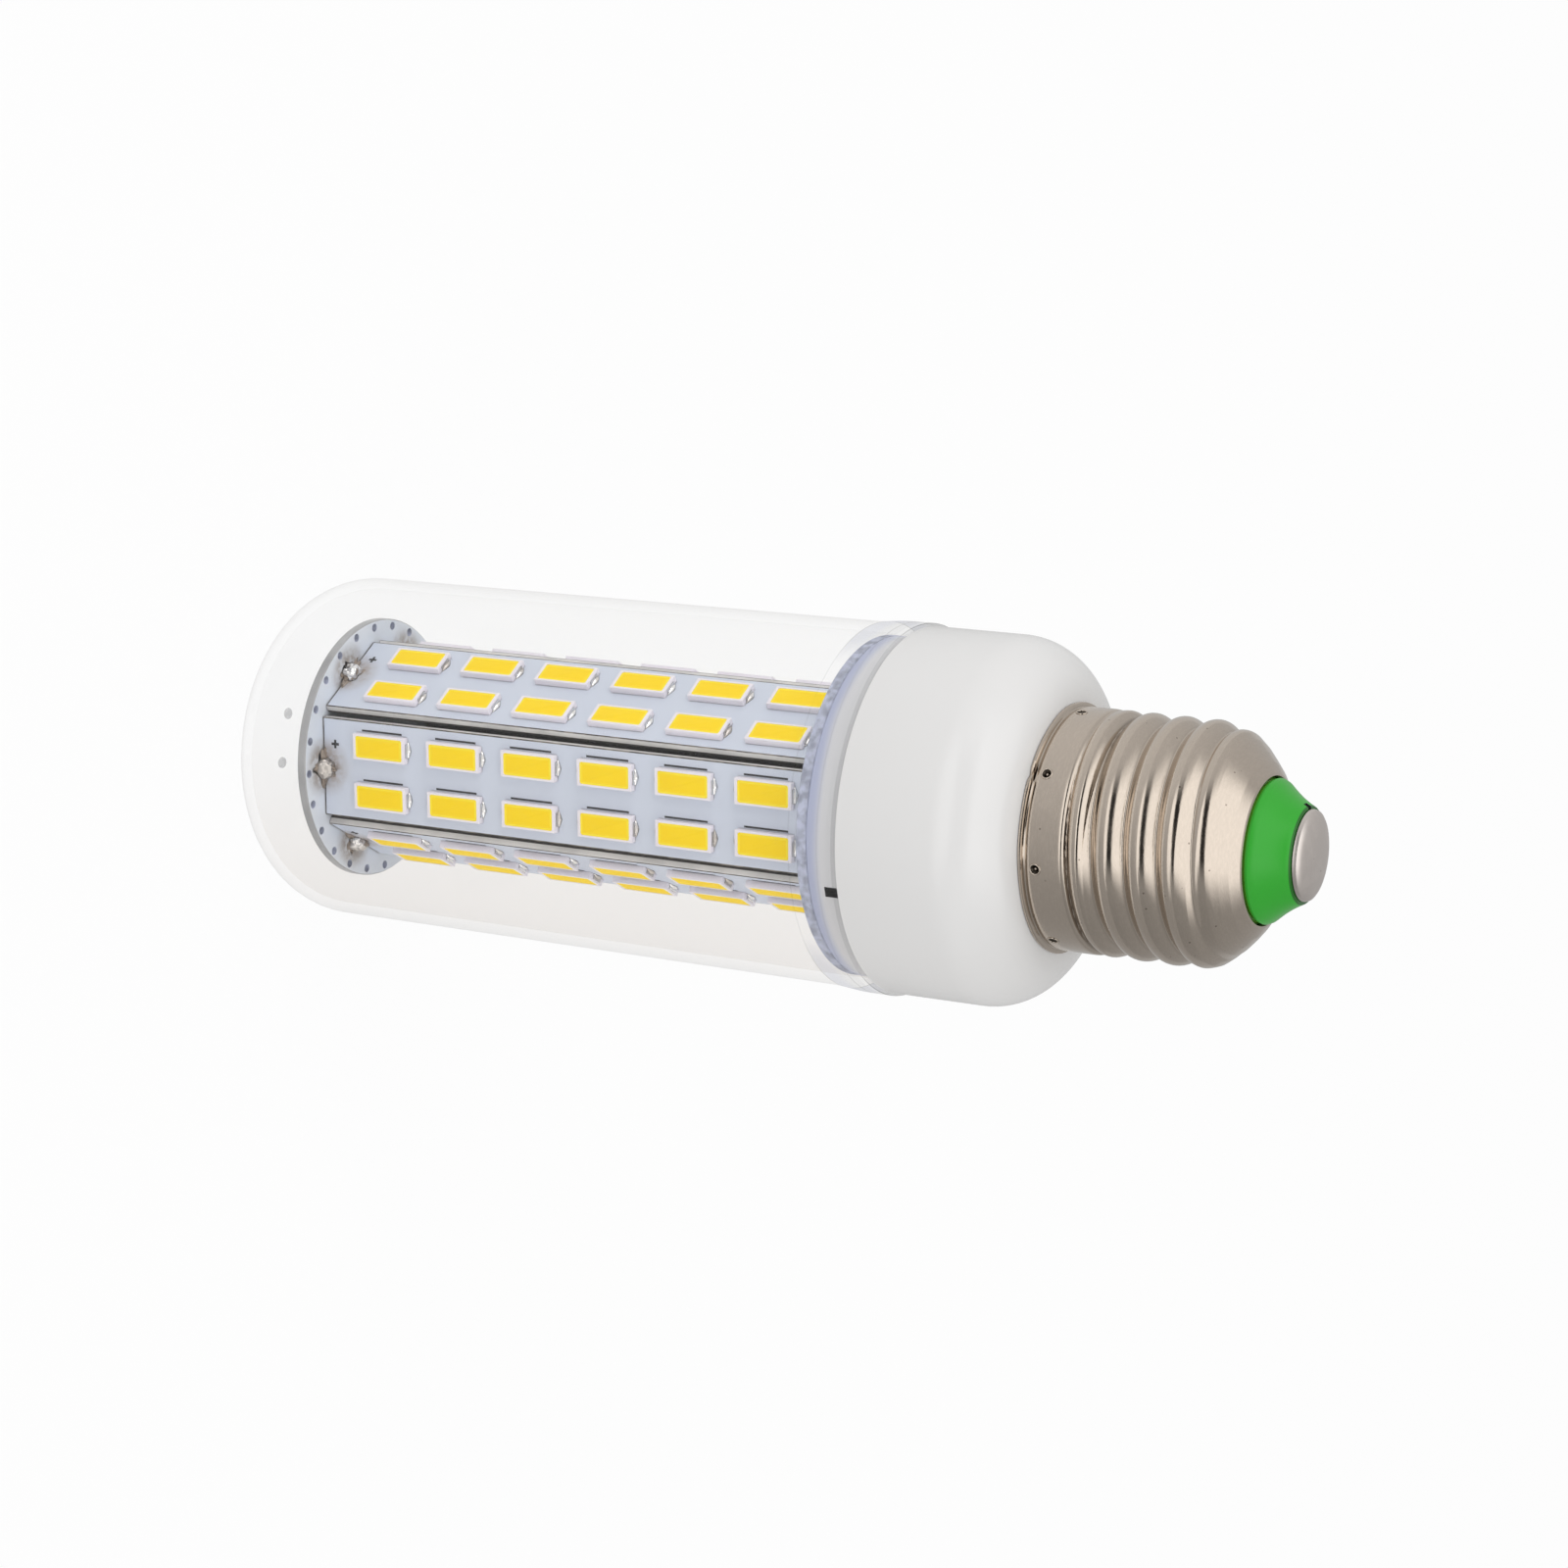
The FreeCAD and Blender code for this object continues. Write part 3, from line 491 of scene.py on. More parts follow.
def mould_grain():
    """Fine unevenness of plastic, coating and tin, and wider patches of it."""
    group, given, end = new_group(
        "Mould grain", (("Vector", "Vector", None), ("Scale", "Float", 400.0)),
        (("Height", "Float"), ("Patch", "Float")))
    fine = clouds(group, given["Vector"], given["Scale"], 3.0)
    patch = clouds(group, given["Vector"], times(group, given["Scale"], 0.12), 2.0)
    group.links.new(fine, end.inputs["Height"])
    group.links.new(patch, end.inputs["Patch"])


def hair_scratches():
    """Short fine lines that run round the cap, with wear and a few pits."""
    group, given, end = new_group(
        "Hair scratches", (("Vector", "Vector", None), ("Stretch", "Vector", (1, 1, 1)),
                           ("Scale", "Float", 900.0)),
        (("Lines", "Float"), ("Wear", "Float"), ("Pits", "Float")))
    stretched = vectors(group, "MULTIPLY", given["Vector"], given["Stretch"]).outputs[0]
    hairs = clouds(group, stretched, given["Scale"], 4.0, Roughness=0.65)
    worn = clouds(group, given["Vector"], times(group, given["Scale"], 0.2), 3.0)
    cells = place(group, "TexVoronoi", {"Vector": given["Vector"], "Scale": 1100.0}).outputs
    rare = axes(group, cells["Color"])["X"]
    pits = times(group, fade(group, cells["Distance"], 0.16, 0.08), fade(group, rare, 0.86, 0.9))
    group.links.new(fade(group, hairs, 0.42, 0.66), end.inputs["Lines"])
    group.links.new(fade(group, worn, 0.4, 0.7), end.inputs["Wear"])
    group.links.new(pits, end.inputs["Pits"])


def flux_stain():
    """Brownish residue round the six solder joints at the closed end."""
    group, given, end = new_group(
        "Flux stain", (("Vector", "Vector", None), ("Height", "Float", 0.0098)),
        (("Stain", "Float"),))
    joint_radius, stain_edge, stain_core = 0.0120, 0.0040, 0.0023
    parts = axes(group, given["Vector"])
    half = math.radians(30)
    angle = maths(group, "ARCTAN2", parts["Y"], parts["X"])
    angle = maths(group, "WRAP", maths(group, "SUBTRACT", angle, half), half, -half)
    flat = place(group, "CombineXYZ", {"X": parts["X"], "Y": parts["Y"]}).outputs[0]
    radius = vectors(group, "LENGTH", flat).outputs["Value"]
    side = times(group, maths(group, "SINE", angle), radius)
    out = times(group, maths(group, "COSINE", angle), radius)
    rise = maths(group, "SUBTRACT", parts["Z"], given["Height"])
    local = place(group, "CombineXYZ", {
        "X": times(group, side, 0.8), "Y": maths(group, "SUBTRACT", out, joint_radius),
        "Z": times(group, rise, 0.75)}).outputs[0]
    distance = vectors(group, "LENGTH", local).outputs["Value"]
    rough = clouds(group, given["Vector"], 900.0, 4.0, Roughness=0.7)
    ragged = maths(group, "MULTIPLY_ADD", rough, 0.0016, distance)
    speckle = line(group, fade(group, rough, 0.40, 0.62), 0.6, 0.4)
    group.links.new(times(group, fade(group, ragged, stain_edge, stain_core), speckle),
                    end.inputs["Stain"])


def make_clear_plastic(name, skin):
    """Clear plastic with a trace of haze, and painted shade towards +X. The outer skin has the
    gloss, a painted grey shade at its outline and the collar's painted shade and lines.
    """
    material, tree, shader, spot = new_finish(
        name, Roughness=0.0, IOR=1.0, Transmission_Weight=0.985,
        Coat_Weight=0.25 if skin else 0.0, Coat_Roughness=0.04)
    clear, haze = (0.985, 0.985, 0.984, 1), (0.975, 0.974, 0.972, 1)
    shaded_side_colour, grazing_shade_colour = (0.935, 0.922, 0.91, 1), (0.90, 0.895, 0.89, 1)
    rays = place(tree, "LightPath").outputs
    passing = maths(tree, "MAXIMUM", rays["Is Shadow Ray"], rays["Is Diffuse Ray"])
    feed(tree, shader, Alpha=line(tree, passing, -0.9, 1.0))
    shade = blend(tree, grain_of(tree, spot, 150.0)[1], clear, haze)
    parts = axes(tree, spot)
    # Painted shade: darker and warmer towards +X, the side away from the key lamp
    shade = blend(tree, fade(tree, parts["X"], -0.008, 0.018), shade, shaded_side_colour)
    if skin:
        facing = place(tree, "LayerWeight", {"Blend": 0.5}).outputs["Facing"]
        # Painted shade: grey where the skin turns away from the view, in place of the glass's
        # darker rim
        shade = blend(tree, fade(tree, facing, 0.6, 1.0), shade, grazing_shade_colour)
        shade = collar_painted_shade(tree, shade, parts["Z"], facing)
    feed(tree, shader, Base_Color=shade)
    return material


def collar_painted_shade(tree, shade, height, facing):
    """Painted shade at the outline of the collar's thick wall, lilac lower down and grey higher up,
    and painted dark lines at its steps and rim.
    """
    rim = high("cover")
    lilac, grey = (0.66, 0.67, 0.73, 1), (0.73, 0.73, 0.73, 1)
    # Painted shade in the collar's thick wall where it turns away from the view
    wall = times(tree, fade(tree, height, rim - 0.0052, rim - 0.005),
                 fade(tree, facing, 0.42, 0.64))
    wall_shade_colour = blend(tree, fade(tree, height, rim - 0.0035, rim - 0.002), lilac, grey)
    shade = blend(tree, wall, shade, wall_shade_colour)
    strength = line(tree, fade(tree, facing, 0.4, 0.9), 0.75, 0.25)
    # Height above the rim, half the width and the tone of each painted dark line
    for up, half, tone in ((-0.0051, 0.00007, 0.4), (-0.0016, 0.00009, 0.5),
                           (-0.0002, 0.00032, 0.85), (0.00016, 0.00012, 0.1)):
        mark = maths(tree, "COMPARE", height, rim + up, half)
        shade = blend(tree, times(tree, mark, strength), shade, (tone, tone, tone * 0.98, 1))
    return shade


def make_white_plastic():
    """Glossy plastic of the housing. Its spigot is painted grey and its foot blue, as painted shade
    where they lie inside the collar.
    """
    material, tree, shader, spot = new_finish("White plastic", IOR=1.6)
    base = tuple(colours().plastic)
    spigot_shade_grey, foot_shade_blue = (0.62, 0.62, 0.635, 1), (0.40, 0.43, 0.58, 1)
    height, patch = grain_of(tree, spot, 260.0)
    shade = blend(tree, patch, base, tinted(base, 0.985, 0.978, 0.97))
    up = axes(tree, spot)["Z"]
    foot = low("housing")
    # Painted shade: grey on the spigot below the ledge, and blue near the foot
    shade = blend(tree, fade(tree, up, foot + 0.0041, foot + 0.0036), shade, spigot_shade_grey)
    cloudy = maths(tree, "MULTIPLY_ADD", patch, 0.0016, up)
    shade = blend(tree, fade(tree, cloudy, foot + 0.0026, foot + 0.0012), shade, foot_shade_blue)
    feed(tree, shader, Base_Color=shade, Roughness=line(tree, patch, 0.1, 0.16))
    bump(tree, shader, height, 0.00001, 0.15)
    return material


def make_nickel(name, base, stretch, roughness, scale=1500.0):
    """Warm nickel plating with hair scratches, and painted shade in the valleys."""
    material, tree, shader, spot = new_finish(name, Metallic=1.0)
    marks = use_group(tree, "Hair scratches", {"Vector": spot, "Stretch": stretch, "Scale": scale})
    # Dark colour for both the painted shade in the valleys and the real pits
    dark = tinted(base, 0.16, 0.13, 0.11)
    shade = blend(tree, times(tree, marks["Lines"], 0.35), base, tinted(base, 1.15, 1.15, 1.15))
    # Painted shade: darker where the thread's valleys are narrow
    valley_shade = crevices(tree, 0.0009, 0.78, 0.4, samples=12)
    shade = blend(tree, times(tree, valley_shade, 0.8), shade, dark)
    shade = blend(tree, times(tree, marks["Pits"], 0.6), shade, dark)
    feed(tree, shader, Base_Color=shade, Roughness=line(tree, marks["Wear"], 0.10, roughness))
    depth = maths(tree, "SUBTRACT", marks["Lines"], times(tree, marks["Pits"], 2.0))
    bump(tree, shader, depth, 0.000004, 0.3)
    return material


def make_insulator_green():
    """Green plastic with a painted yellow-green highlight at its foot and a painted shadow round
    the contact.
    """
    material, tree, shader, spot = new_finish("Green insulator", Roughness=0.3, IOR=1.5)
    base = tuple(colours().insulator)
    lime_highlight, shadow = (0.20, 0.42, 0.04, 1.0), (0.01, 0.07, 0.01, 1)
    height, patch = grain_of(tree, spot, 500.0)
    up = axes(tree, spot)["Z"]
    tip = high("cap_insulator")
    foot = fade(tree, up, tip - 0.0039, tip - 0.0042)
    rim = fade(tree, up, tip - 0.00022, tip - 0.00012)
    shade = blend(tree, patch, base, tinted(base, 1.3, 1.12, 1.0))
    # Painted highlight along the foot, and painted shadow at the rim round the contact
    shade = blend(tree, times(tree, foot, 0.6), shade, lime_highlight)
    shade = blend(tree, times(tree, rim, 0.8), shade, shadow)
    feed(tree, shader, Base_Color=shade, Roughness=line(tree, patch, 0.15, 0.25))
    bump(tree, shader, height, 0.00001, 0.3)
    return material


def make_coating(name, pale, scale, relief, roughness, corners, crevice_shade, flux):
    """Coating of a board in two pale tones. The painted shade in corners and the flux are each a
    share and a colour.
    """
    material, tree, shader, spot = new_finish(name, IOR=1.5)
    height, patch = grain_of(tree, spot, scale)
    shade = blend(tree, patch, *pale)
    # Painted shade: darker in corners, round the packages and the joints
    shade = blend(tree, times(tree, crevices(tree, *corners), crevice_shade[0]), shade, crevice_shade[1])
    stain = use_group(tree, "Flux stain", {"Vector": spot})["Stain"]
    shade = blend(tree, times(tree, stain, flux[0]), shade, flux[1])
    feed(tree, shader, Base_Color=shade, Roughness=line(tree, patch, 0.2, roughness))
    bump(tree, shader, height, 0.00001, relief)
    return material


def make_mask():
    """Coating of the strips."""
    base = tuple(colours().mask)
    return make_coating("Solder mask", pale=(base, tinted(base, 1.08, 1.07, 1.04)), scale=900.0,
                        relief=0.3, roughness=0.35, corners=(0.00035, 0.8, 0.45),
                        crevice_shade=(0.55, (0.16, 0.14, 0.13, 1)), flux=(0.75, (0.30, 0.22, 0.16, 1.0)))


def make_board_face():
    """Coating of the round boards."""
    return make_coating("Board coating", pale=((0.62, 0.67, 0.75, 1), (0.76, 0.79, 0.84, 1)),
                        scale=700.0, relief=0.5, roughness=0.3, corners=(0.0005, 0.75, 0.4),
                        crevice_shade=(0.6, (0.16, 0.15, 0.16, 1)), flux=(0.85, (0.27, 0.22, 0.18, 1.0)))


def make_cut_metal(name, dark, pale, scale, roughness):
    """Bare metal of the boards, with fine lines across the cut."""
    material, tree, shader, spot = new_finish(name, Metallic=1.0)
    marks = use_group(tree, "Hair scratches", {"Vector": spot, "Stretch": (1, 1, 0.3),
                                               "Scale": scale})
    feed(tree, shader, Base_Color=blend(tree, marks["Lines"], dark, pale),
         Roughness=line(tree, marks["Wear"], 0.15, roughness))
    bump(tree, shader, marks["Lines"], 0.000005, 0.3)
    return material


def make_package():
    """White LED plastic with lilac patches."""
    material, tree, shader, spot = new_finish("LED plastic", Roughness=0.4, IOR=1.5)
    base = tuple(colours().package)
    height, patch = grain_of(tree, spot, 1500.0)
    feed(tree, shader, Base_Color=blend(tree, patch, base, tinted(base, 0.93, 0.88, 0.94)),
         Roughness=line(tree, patch, 0.2, 0.3))
    bump(tree, shader, height, 0.000006, 0.4)
    return material


def make_phosphor(name, base):
    """Yellow phosphor with a faint painted glow of its own colour."""
    material, tree, shader, spot = new_finish(name, IOR=1.25, Emission_Strength=0.14)
    height, patch = grain_of(tree, spot, 1800.0)
    shade = blend(tree, patch, base, tinted(base, 0.98, 0.93, 0.6))
    # Painted light: the phosphor's colour is also given out as a faint glow
    feed(tree, shader, Base_Color=shade, Emission_Color=shade,
         Roughness=line(tree, patch, 0.2, 0.45))
    bump(tree, shader, height, 0.000006, 0.3)
    return material


def make_tin():
    """Lumpy solder with dull patches and painted shade at its foot."""
    material, tree, shader, spot = new_finish("Solder tin", Metallic=1.0)
    base = tuple(colours().solder)
    height, patch = grain_of(tree, spot, 1300.0)
    dull = fade(tree, patch, 0.45, 0.65)
    shade = blend(tree, dull, base, tinted(base, 0.66, 0.62, 0.58))
    # Painted shade: dark where the tin meets the surface under it
    foot = crevices(tree, 0.0003, 0.85, 0.5)
    feed(tree, shader, Base_Color=blend(tree, foot, shade, (0.05, 0.045, 0.04, 1)),
         Roughness=line(tree, dull, 0.3, 0.14))
    bump(tree, shader, height, 0.00006, 1.0)
    return material


def make_plain(name, base, roughness, scale=600.0, depth=0.00001, deep=0.8, **plain):
    """Plain moulded or coated surface with a fine grain and patches of a deeper tone."""
    material, tree, shader, spot = new_finish(name, **plain)
    height, patch = grain_of(tree, spot, scale)
    shade = blend(tree, fade(tree, patch, 0.3, 0.7), base, tinted(base, deep, deep, deep))
    feed(tree, shader, Base_Color=shade, Roughness=line(tree, patch, 0.2, roughness))
    bump(tree, shader, height, depth, 0.5)
    return material


# The finished materials by a short name
FINISH = {}


def make_finishes():
    """Build every material."""
    make_groups()
    nickel = tuple(colours().nickel)
    yellow = tuple(colours().phosphor)
    FINISH.update({
        "clear": make_clear_plastic("Clear plastic", True),
        "inside": make_clear_plastic("Clear plastic inside", False),
        "frost": make_plain("Frosted mark", (0.55, 0.55, 0.55, 1), 0.3, 9000.0, Alpha=0.35),
        "white": make_white_plastic(),
        "cap": make_nickel("Nickel cap", nickel, (1, 1, 4), 0.09),
        # Painted shade: the inside of each punch mark is dark
        "pit": make_nickel("Punch hole shade", (0.10, 0.085, 0.07, 1), (1, 1, 1), 0.35),
        "contact": make_nickel("Contact metal", (0.80, 0.735, 0.69, 1), (1, 1, 1), 0.3, 600.0),
        "green": make_insulator_green(),
        "mask": make_mask(),
        "board": make_board_face(),
        "cut": make_plain("Board rim", (0.40, 0.40, 0.405, 1), 0.3, 1500.0),
        "rim": make_plain("Coated rim", (0.50, 0.53, 0.66, 1), 0.4, 9000.0, 0.00003, 0.55),
        "edge": make_plain("Strip edge", (0.78, 0.76, 0.74, 1), 0.35, 1800.0),
        "flux": make_plain("Flux residue", (0.30, 0.24, 0.19, 1), 0.15, 2400.0, 0.00012),
        "line": make_cut_metal("Mask edge", (0.10, 0.09, 0.08, 1), (0.30, 0.27, 0.23, 1), 2600.0,
                               0.5),
        # Painted shade: the backs of the strips, inside the bulb, are painted nearly black
        "back": make_plain("Strip back shade", (0.05, 0.045, 0.04, 1), 0.5),
        "package": make_package(),
        "phosphor": make_phosphor("Phosphor", yellow),
        "glow": make_phosphor("Phosphor edge", (yellow[0], yellow[1] * 1.12, 0.035, 1.0)),
        "tin": make_tin(),
        # Black of the printed ink marks, also used as painted shade in the housing's notch and the
        # insulator's nick
        "ink": make_plain("Black ink and painted shade", (0.02, 0.02, 0.022, 1), 0.5),
        "laminate": make_plain("Driver laminate", (0.60, 0.50, 0.26, 1), 0.45),
        "film": make_plain("Red capacitor case", (0.42, 0.05, 0.03, 1), 0.25),
        "sleeve": make_plain("Capacitor sleeve", (0.03, 0.035, 0.06, 1), 0.25),
        "moulded": make_plain("Black moulding", (0.02, 0.02, 0.02, 1), 0.5),
        "fuse": make_plain("Green resistor", (0.06, 0.22, 0.11, 1), 0.5),
        "bleeder": make_plain("Tan resistor", (0.55, 0.36, 0.2, 1), 0.5),
        "red_wire": make_plain("Red insulation", (0.5, 0.03, 0.025, 1), 0.4),
        "white_wire": make_plain("White insulation", (0.8, 0.8, 0.78, 1), 0.4),
    })


def paint(piece, *keys):
    """Give a piece its finishes, one for each material slot."""
    piece.data.materials.clear()
    for key in keys:
        piece.data.materials.append(FINISH[key])
    return piece


# Pieces


class BULB_OT_cover(bpy.types.Operator):
    """Clear tube with a closed round-edged end and a thicker collar"""
    bl_idname = "bulb.cover"
    bl_label = "Clear Cover"

    def execute(self, context):
        wall = sizes().cover_wall / MM
        rim = low("housing") / MM + 4.06
        tube, flare, flare_start, flare_length = 20.08, 0.32, rim - 7, 4.5
        collar, bore, lip, lip_start = 20.4, 18.9, 0.15, rim - 0.15
        outline = [(0, 0)] + arc(COVER_CENTRE, COVER_ROUND, COVER_ROUND, -90, 0, 14)
        for step in range(7):
            part = step / 6
            outline.append((tube + flare * ease(part), flare_start + flare_length * part))
        outline += [(collar, lip_start)] + arc(collar - lip, lip_start, lip, 0, 90, 2)
        outline += arc(bore + lip, lip_start, lip, 90, 180, 2)
        outline += [(20.1 - wall, rim - 5)]
        outline += arc(COVER_CENTRE, COVER_ROUND, COVER_ROUND - wall, 0, -90, 14) + [(0, wall)]
        cover = paint(turned("clear_cover", outline, 216, closed=False), "clear", "inside")
        middle = Vector((0, 0, rim * MM / 2))
        sort_faces(cover, lambda face: face.normal.dot(face.center - middle) < 0)
        ride(cover, "clear_plastic", "cover")
        self.mould_marks((wall + 0.15) * MM)
        return {"FINISHED"}

    def mould_marks(self, height):
        """Two faint rings in the floor of the closed end."""
        marks = join("mould_marks", [
            ring(0.42 * MM, 0.24 * MM, (across * MM, up * MM, height))
            for across, up in ((-4.39, -6.33), (1.18, -7.82))])
        close_smooth(marks)
        ride(paint(marks, "frost"), "clear_plastic")


class BULB_OT_housing(bpy.types.Operator):
    """White housing with its spigot, ledge, round shoulder and neck"""
    bl_idname = "bulb.housing"
    bl_label = "White Housing"

    def execute(self, context):
        seat = low("screw_cap") / MM
        bottom = low("housing") / MM
        ledge, step = bottom + 4.1, seat + 4
        top, shoulder = seat + 11, seat - SHOULDER_ROUND
        barrel, neck, thin_neck, bore = 19.85, 12.65, 11.65, 10.35
        wall, corner = 1.6, 0.25
        outline = [(17.5, bottom), (18.55, bottom), (SPIGOT, bottom + 0.15), (SPIGOT, ledge)]
        outline += [(barrel, ledge)] + arc(barrel, ledge + corner, corner, -90, 0, 4)
        outline += arc(SHOULDER_CENTRE, shoulder, SHOULDER_ROUND, 0, 90, 20)
        outline += [(neck, seat), (neck, step), (thin_neck, step), (thin_neck, top)]
        outline += [(bore, top), (bore, seat - wall)]
        outline += arc(SHOULDER_CENTRE, shoulder, SHOULDER_ROUND - wall, 90, 0, 12)
        outline += [(18.5, ledge + 1.4), (17.5, ledge + 1.4)]
        housing = turned("white_housing", outline, 160)
        notch_angle = 106.7
        cutter = block("notch_cutter", (0.0178, -0.0006, (ledge - 2.2) * MM),
                       (0.0197, 0.0006, (ledge + 0.25) * MM))
        cut_out(housing, ring_of(cutter, "notches", (notch_angle - 180, notch_angle)))
        # Painted shade: the notch's faces are painted black
        paint(housing, "white", "ink")
        across = Matrix.Rotation(math.radians(180 - notch_angle), 3, "Z")

        def in_notch(face):
            spot = across @ face.center / MM
            deep = 17.75 < abs(spot.x) < 19.75 and abs(spot.y) < 0.61
            return deep and -2.25 < spot.z - ledge < 0.3

        sort_faces(housing, in_notch)
        ride(housing, "white_plastic", "housing")
        return {"FINISHED"}


def shoulder_radius(above):
    """Radius of the cap in millimetres at a height above its seat, without the thread."""
    crest = sizes().crest_radius / MM
    points = ((16.3, crest), (17.2, crest - 0.1), (18.2, 12.72), (19.0, 12.2), (20.0, 11.35),
              (21.0, 10.25), (21.8, 9.3), (22.65, 8.0))
    radius = crest
    for (start, before), (finish, after) in zip(points, points[1:]):
        if start <= above <= finish:
            radius = before + (after - before) * (above - start) / (finish - start)
    return points[-1][1] if above > points[-1][0] else radius


def thread_radius(angle, above):
    """Radius of the cap's outer skin in millimetres, above the skirt."""
    pitch = sizes().thread_pitch / MM
    depth = sizes().thread_depth / MM
    origin, sharpness, softness = 3.1, 0.85, 0.012
    run_in, run_in_length, run_out, run_out_length = 2.2, 2.4, 18.2, 1.6
    crease_end, crease_change, crease_depth = 6.6, 1.2, 0.6
    # Below this height the turns stand closer together
    squeeze_end, squeeze = 7.0, 1.6
    squeezed = above if above > squeeze_end else squeeze_end - (squeeze_end - above) * squeeze
    turn = math.degrees(angle) / 360
    # Whole numbers of the phase are crests, halves are valleys
    phase = (squeezed - origin) / pitch - turn
    swing = math.sqrt(math.cos(math.pi * phase) ** 2 + softness)
    dip = max(1 - swing ** sharpness, 0)
    deepest = 1 - softness ** (sharpness / 2)
    valley = origin + pitch * (math.floor(phase) + 0.5 + turn)
    # The first valleys are shallow creases that are narrower towards the lip
    early = limit((crease_end - valley) / crease_change)
    crease = dip ** 3 / deepest ** 2 if phase % 1 < 0.5 else dip
    dip += early * (crease_depth * crease - dip)
    weight = ease((valley - run_in) / run_in_length)
    weight *= 1 - ease((valley - run_out) / run_out_length)
    return shoulder_radius(above) - depth * dip * weight


class BULB_OT_cap(bpy.types.Operator):
    """Screw cap of thin nickel-plated sheet with a rolled lip, thread and round shoulder"""
    bl_idname = "bulb.cap"
    bl_label = "Screw Cap"

    def execute(self, context):
        seat = low("screw_cap") / MM
        crest = sizes().crest_radius / MM
        level = (seat + 1.8) * MM
        first_mark, marks_apart = 6.6, 45
        angles = [first_mark + marks_apart * number for number in range(8)]
        cap = self.sheet(seat, high("screw_cap") / MM, crest)
        hole, inside, outside = 0.00050, 0.0120, 0.0136
        drill = rod("drill", hole, (inside, 0, level), (outside, 0, level))
        cut_out(cap, ring_of(drill, "drills", angles))
        close_smooth(cap, 50)
        ride(paint(cap, "cap"), "nickel", "screw_cap")
        marks = ring_of(self.pit(level, crest * MM), "punch_marks", angles)
        close_smooth(marks, 60)
        ride(marks, "nickel")
        return {"FINISHED"}

    def sheet(self, seat, mouth, crest):
        """The cap's sheet, turned and then pressed into its thread."""
        lip = [(13.2, 0.04), (13.44, 0), (13.55, 0.06), (13.55, 0.22), (13.48, 0.34), (13.3, 0.42),
               (13.08, 0.5), (12.97, 0.62), (12.98, 0.76), (crest - 0.03, 0.92), (crest, 1.1)]
        outline = [(radius, seat + up) for radius, up in lip]
        rows, skirt = 400, seat + 1.3
        for row in range(rows + 1):
            outline.append((crest, skirt + (mouth - 0.1 - skirt) * row / rows))
        outline.append((CAP_MOUTH, mouth))
        cap = turned("threaded_cap", outline, 108, closed=False)
        lip_top, nick_angle, nick_half, nick_depth = seat + 0.6, -128.3, 1.7, 0.3
        for vert in cap.data.vertices:
            height = vert.co.z / MM
            angle = math.atan2(vert.co.y, vert.co.x)
            radius = math.hypot(vert.co.x, vert.co.y) / MM
            if height < lip_top:
                wave = math.sin(5 * angle + 1) + math.sin(9 * angle) + math.sin(14 * angle + 2)
                radius -= 0.035 * (1 + wave / 3)
                if abs(math.degrees(angle) - nick_angle) < nick_half:
                    radius -= nick_depth
            elif height > skirt - 0.01:
                radius = thread_radius(angle, height - seat)
            if height > mouth - 0.05:
                radius = CAP_MOUTH
            vert.co.x = radius * MM * math.cos(angle)
            vert.co.y = radius * MM * math.sin(angle)
        wall = cap.modifiers.new("Sheet", "SOLIDIFY")
        wall.thickness = sizes().sheet
        wall.offset = -1
        return apply_modifiers(cap)

    def pit(self, level, skin):
        """A small dent with its inside painted dark as shade and a burr round it, on the +X side.
        """
        quarter = math.radians(90)
        rim, floor, depth = 0.00052, 0.00018, 0.00036
        bead, bead_depth = 0.0002, 0.00032
        burr_radius, burr_thickness = 0.00056, 0.0001
        put_down()
        bpy.ops.mesh.primitive_cone_add(vertices=24, radius1=rim, radius2=floor, depth=depth,
                                        end_fill_type="NOTHING", rotation=(0, -quarter, 0),
                                        location=(skin - depth / 2, 0, level))
        cone = paint(settle(bpy.context.object), "pit", "cap")
        put_down()
        bpy.ops.mesh.primitive_uv_sphere_add(segments=12, ring_count=8, radius=bead,
                                             location=(skin - bead_depth, 0, level))
        ball = paint(settle(bpy.context.object), "pit", "cap")
        burr = ring(burr_radius, burr_thickness, (skin - 0.00001, 0, level), (0, quarter, 0), 32, 8)
        for bright in (ball, paint(burr, "pit", "cap")):
            sort_faces(bright, lambda face: 1)
        return join("pit", [cone, ball, burr])


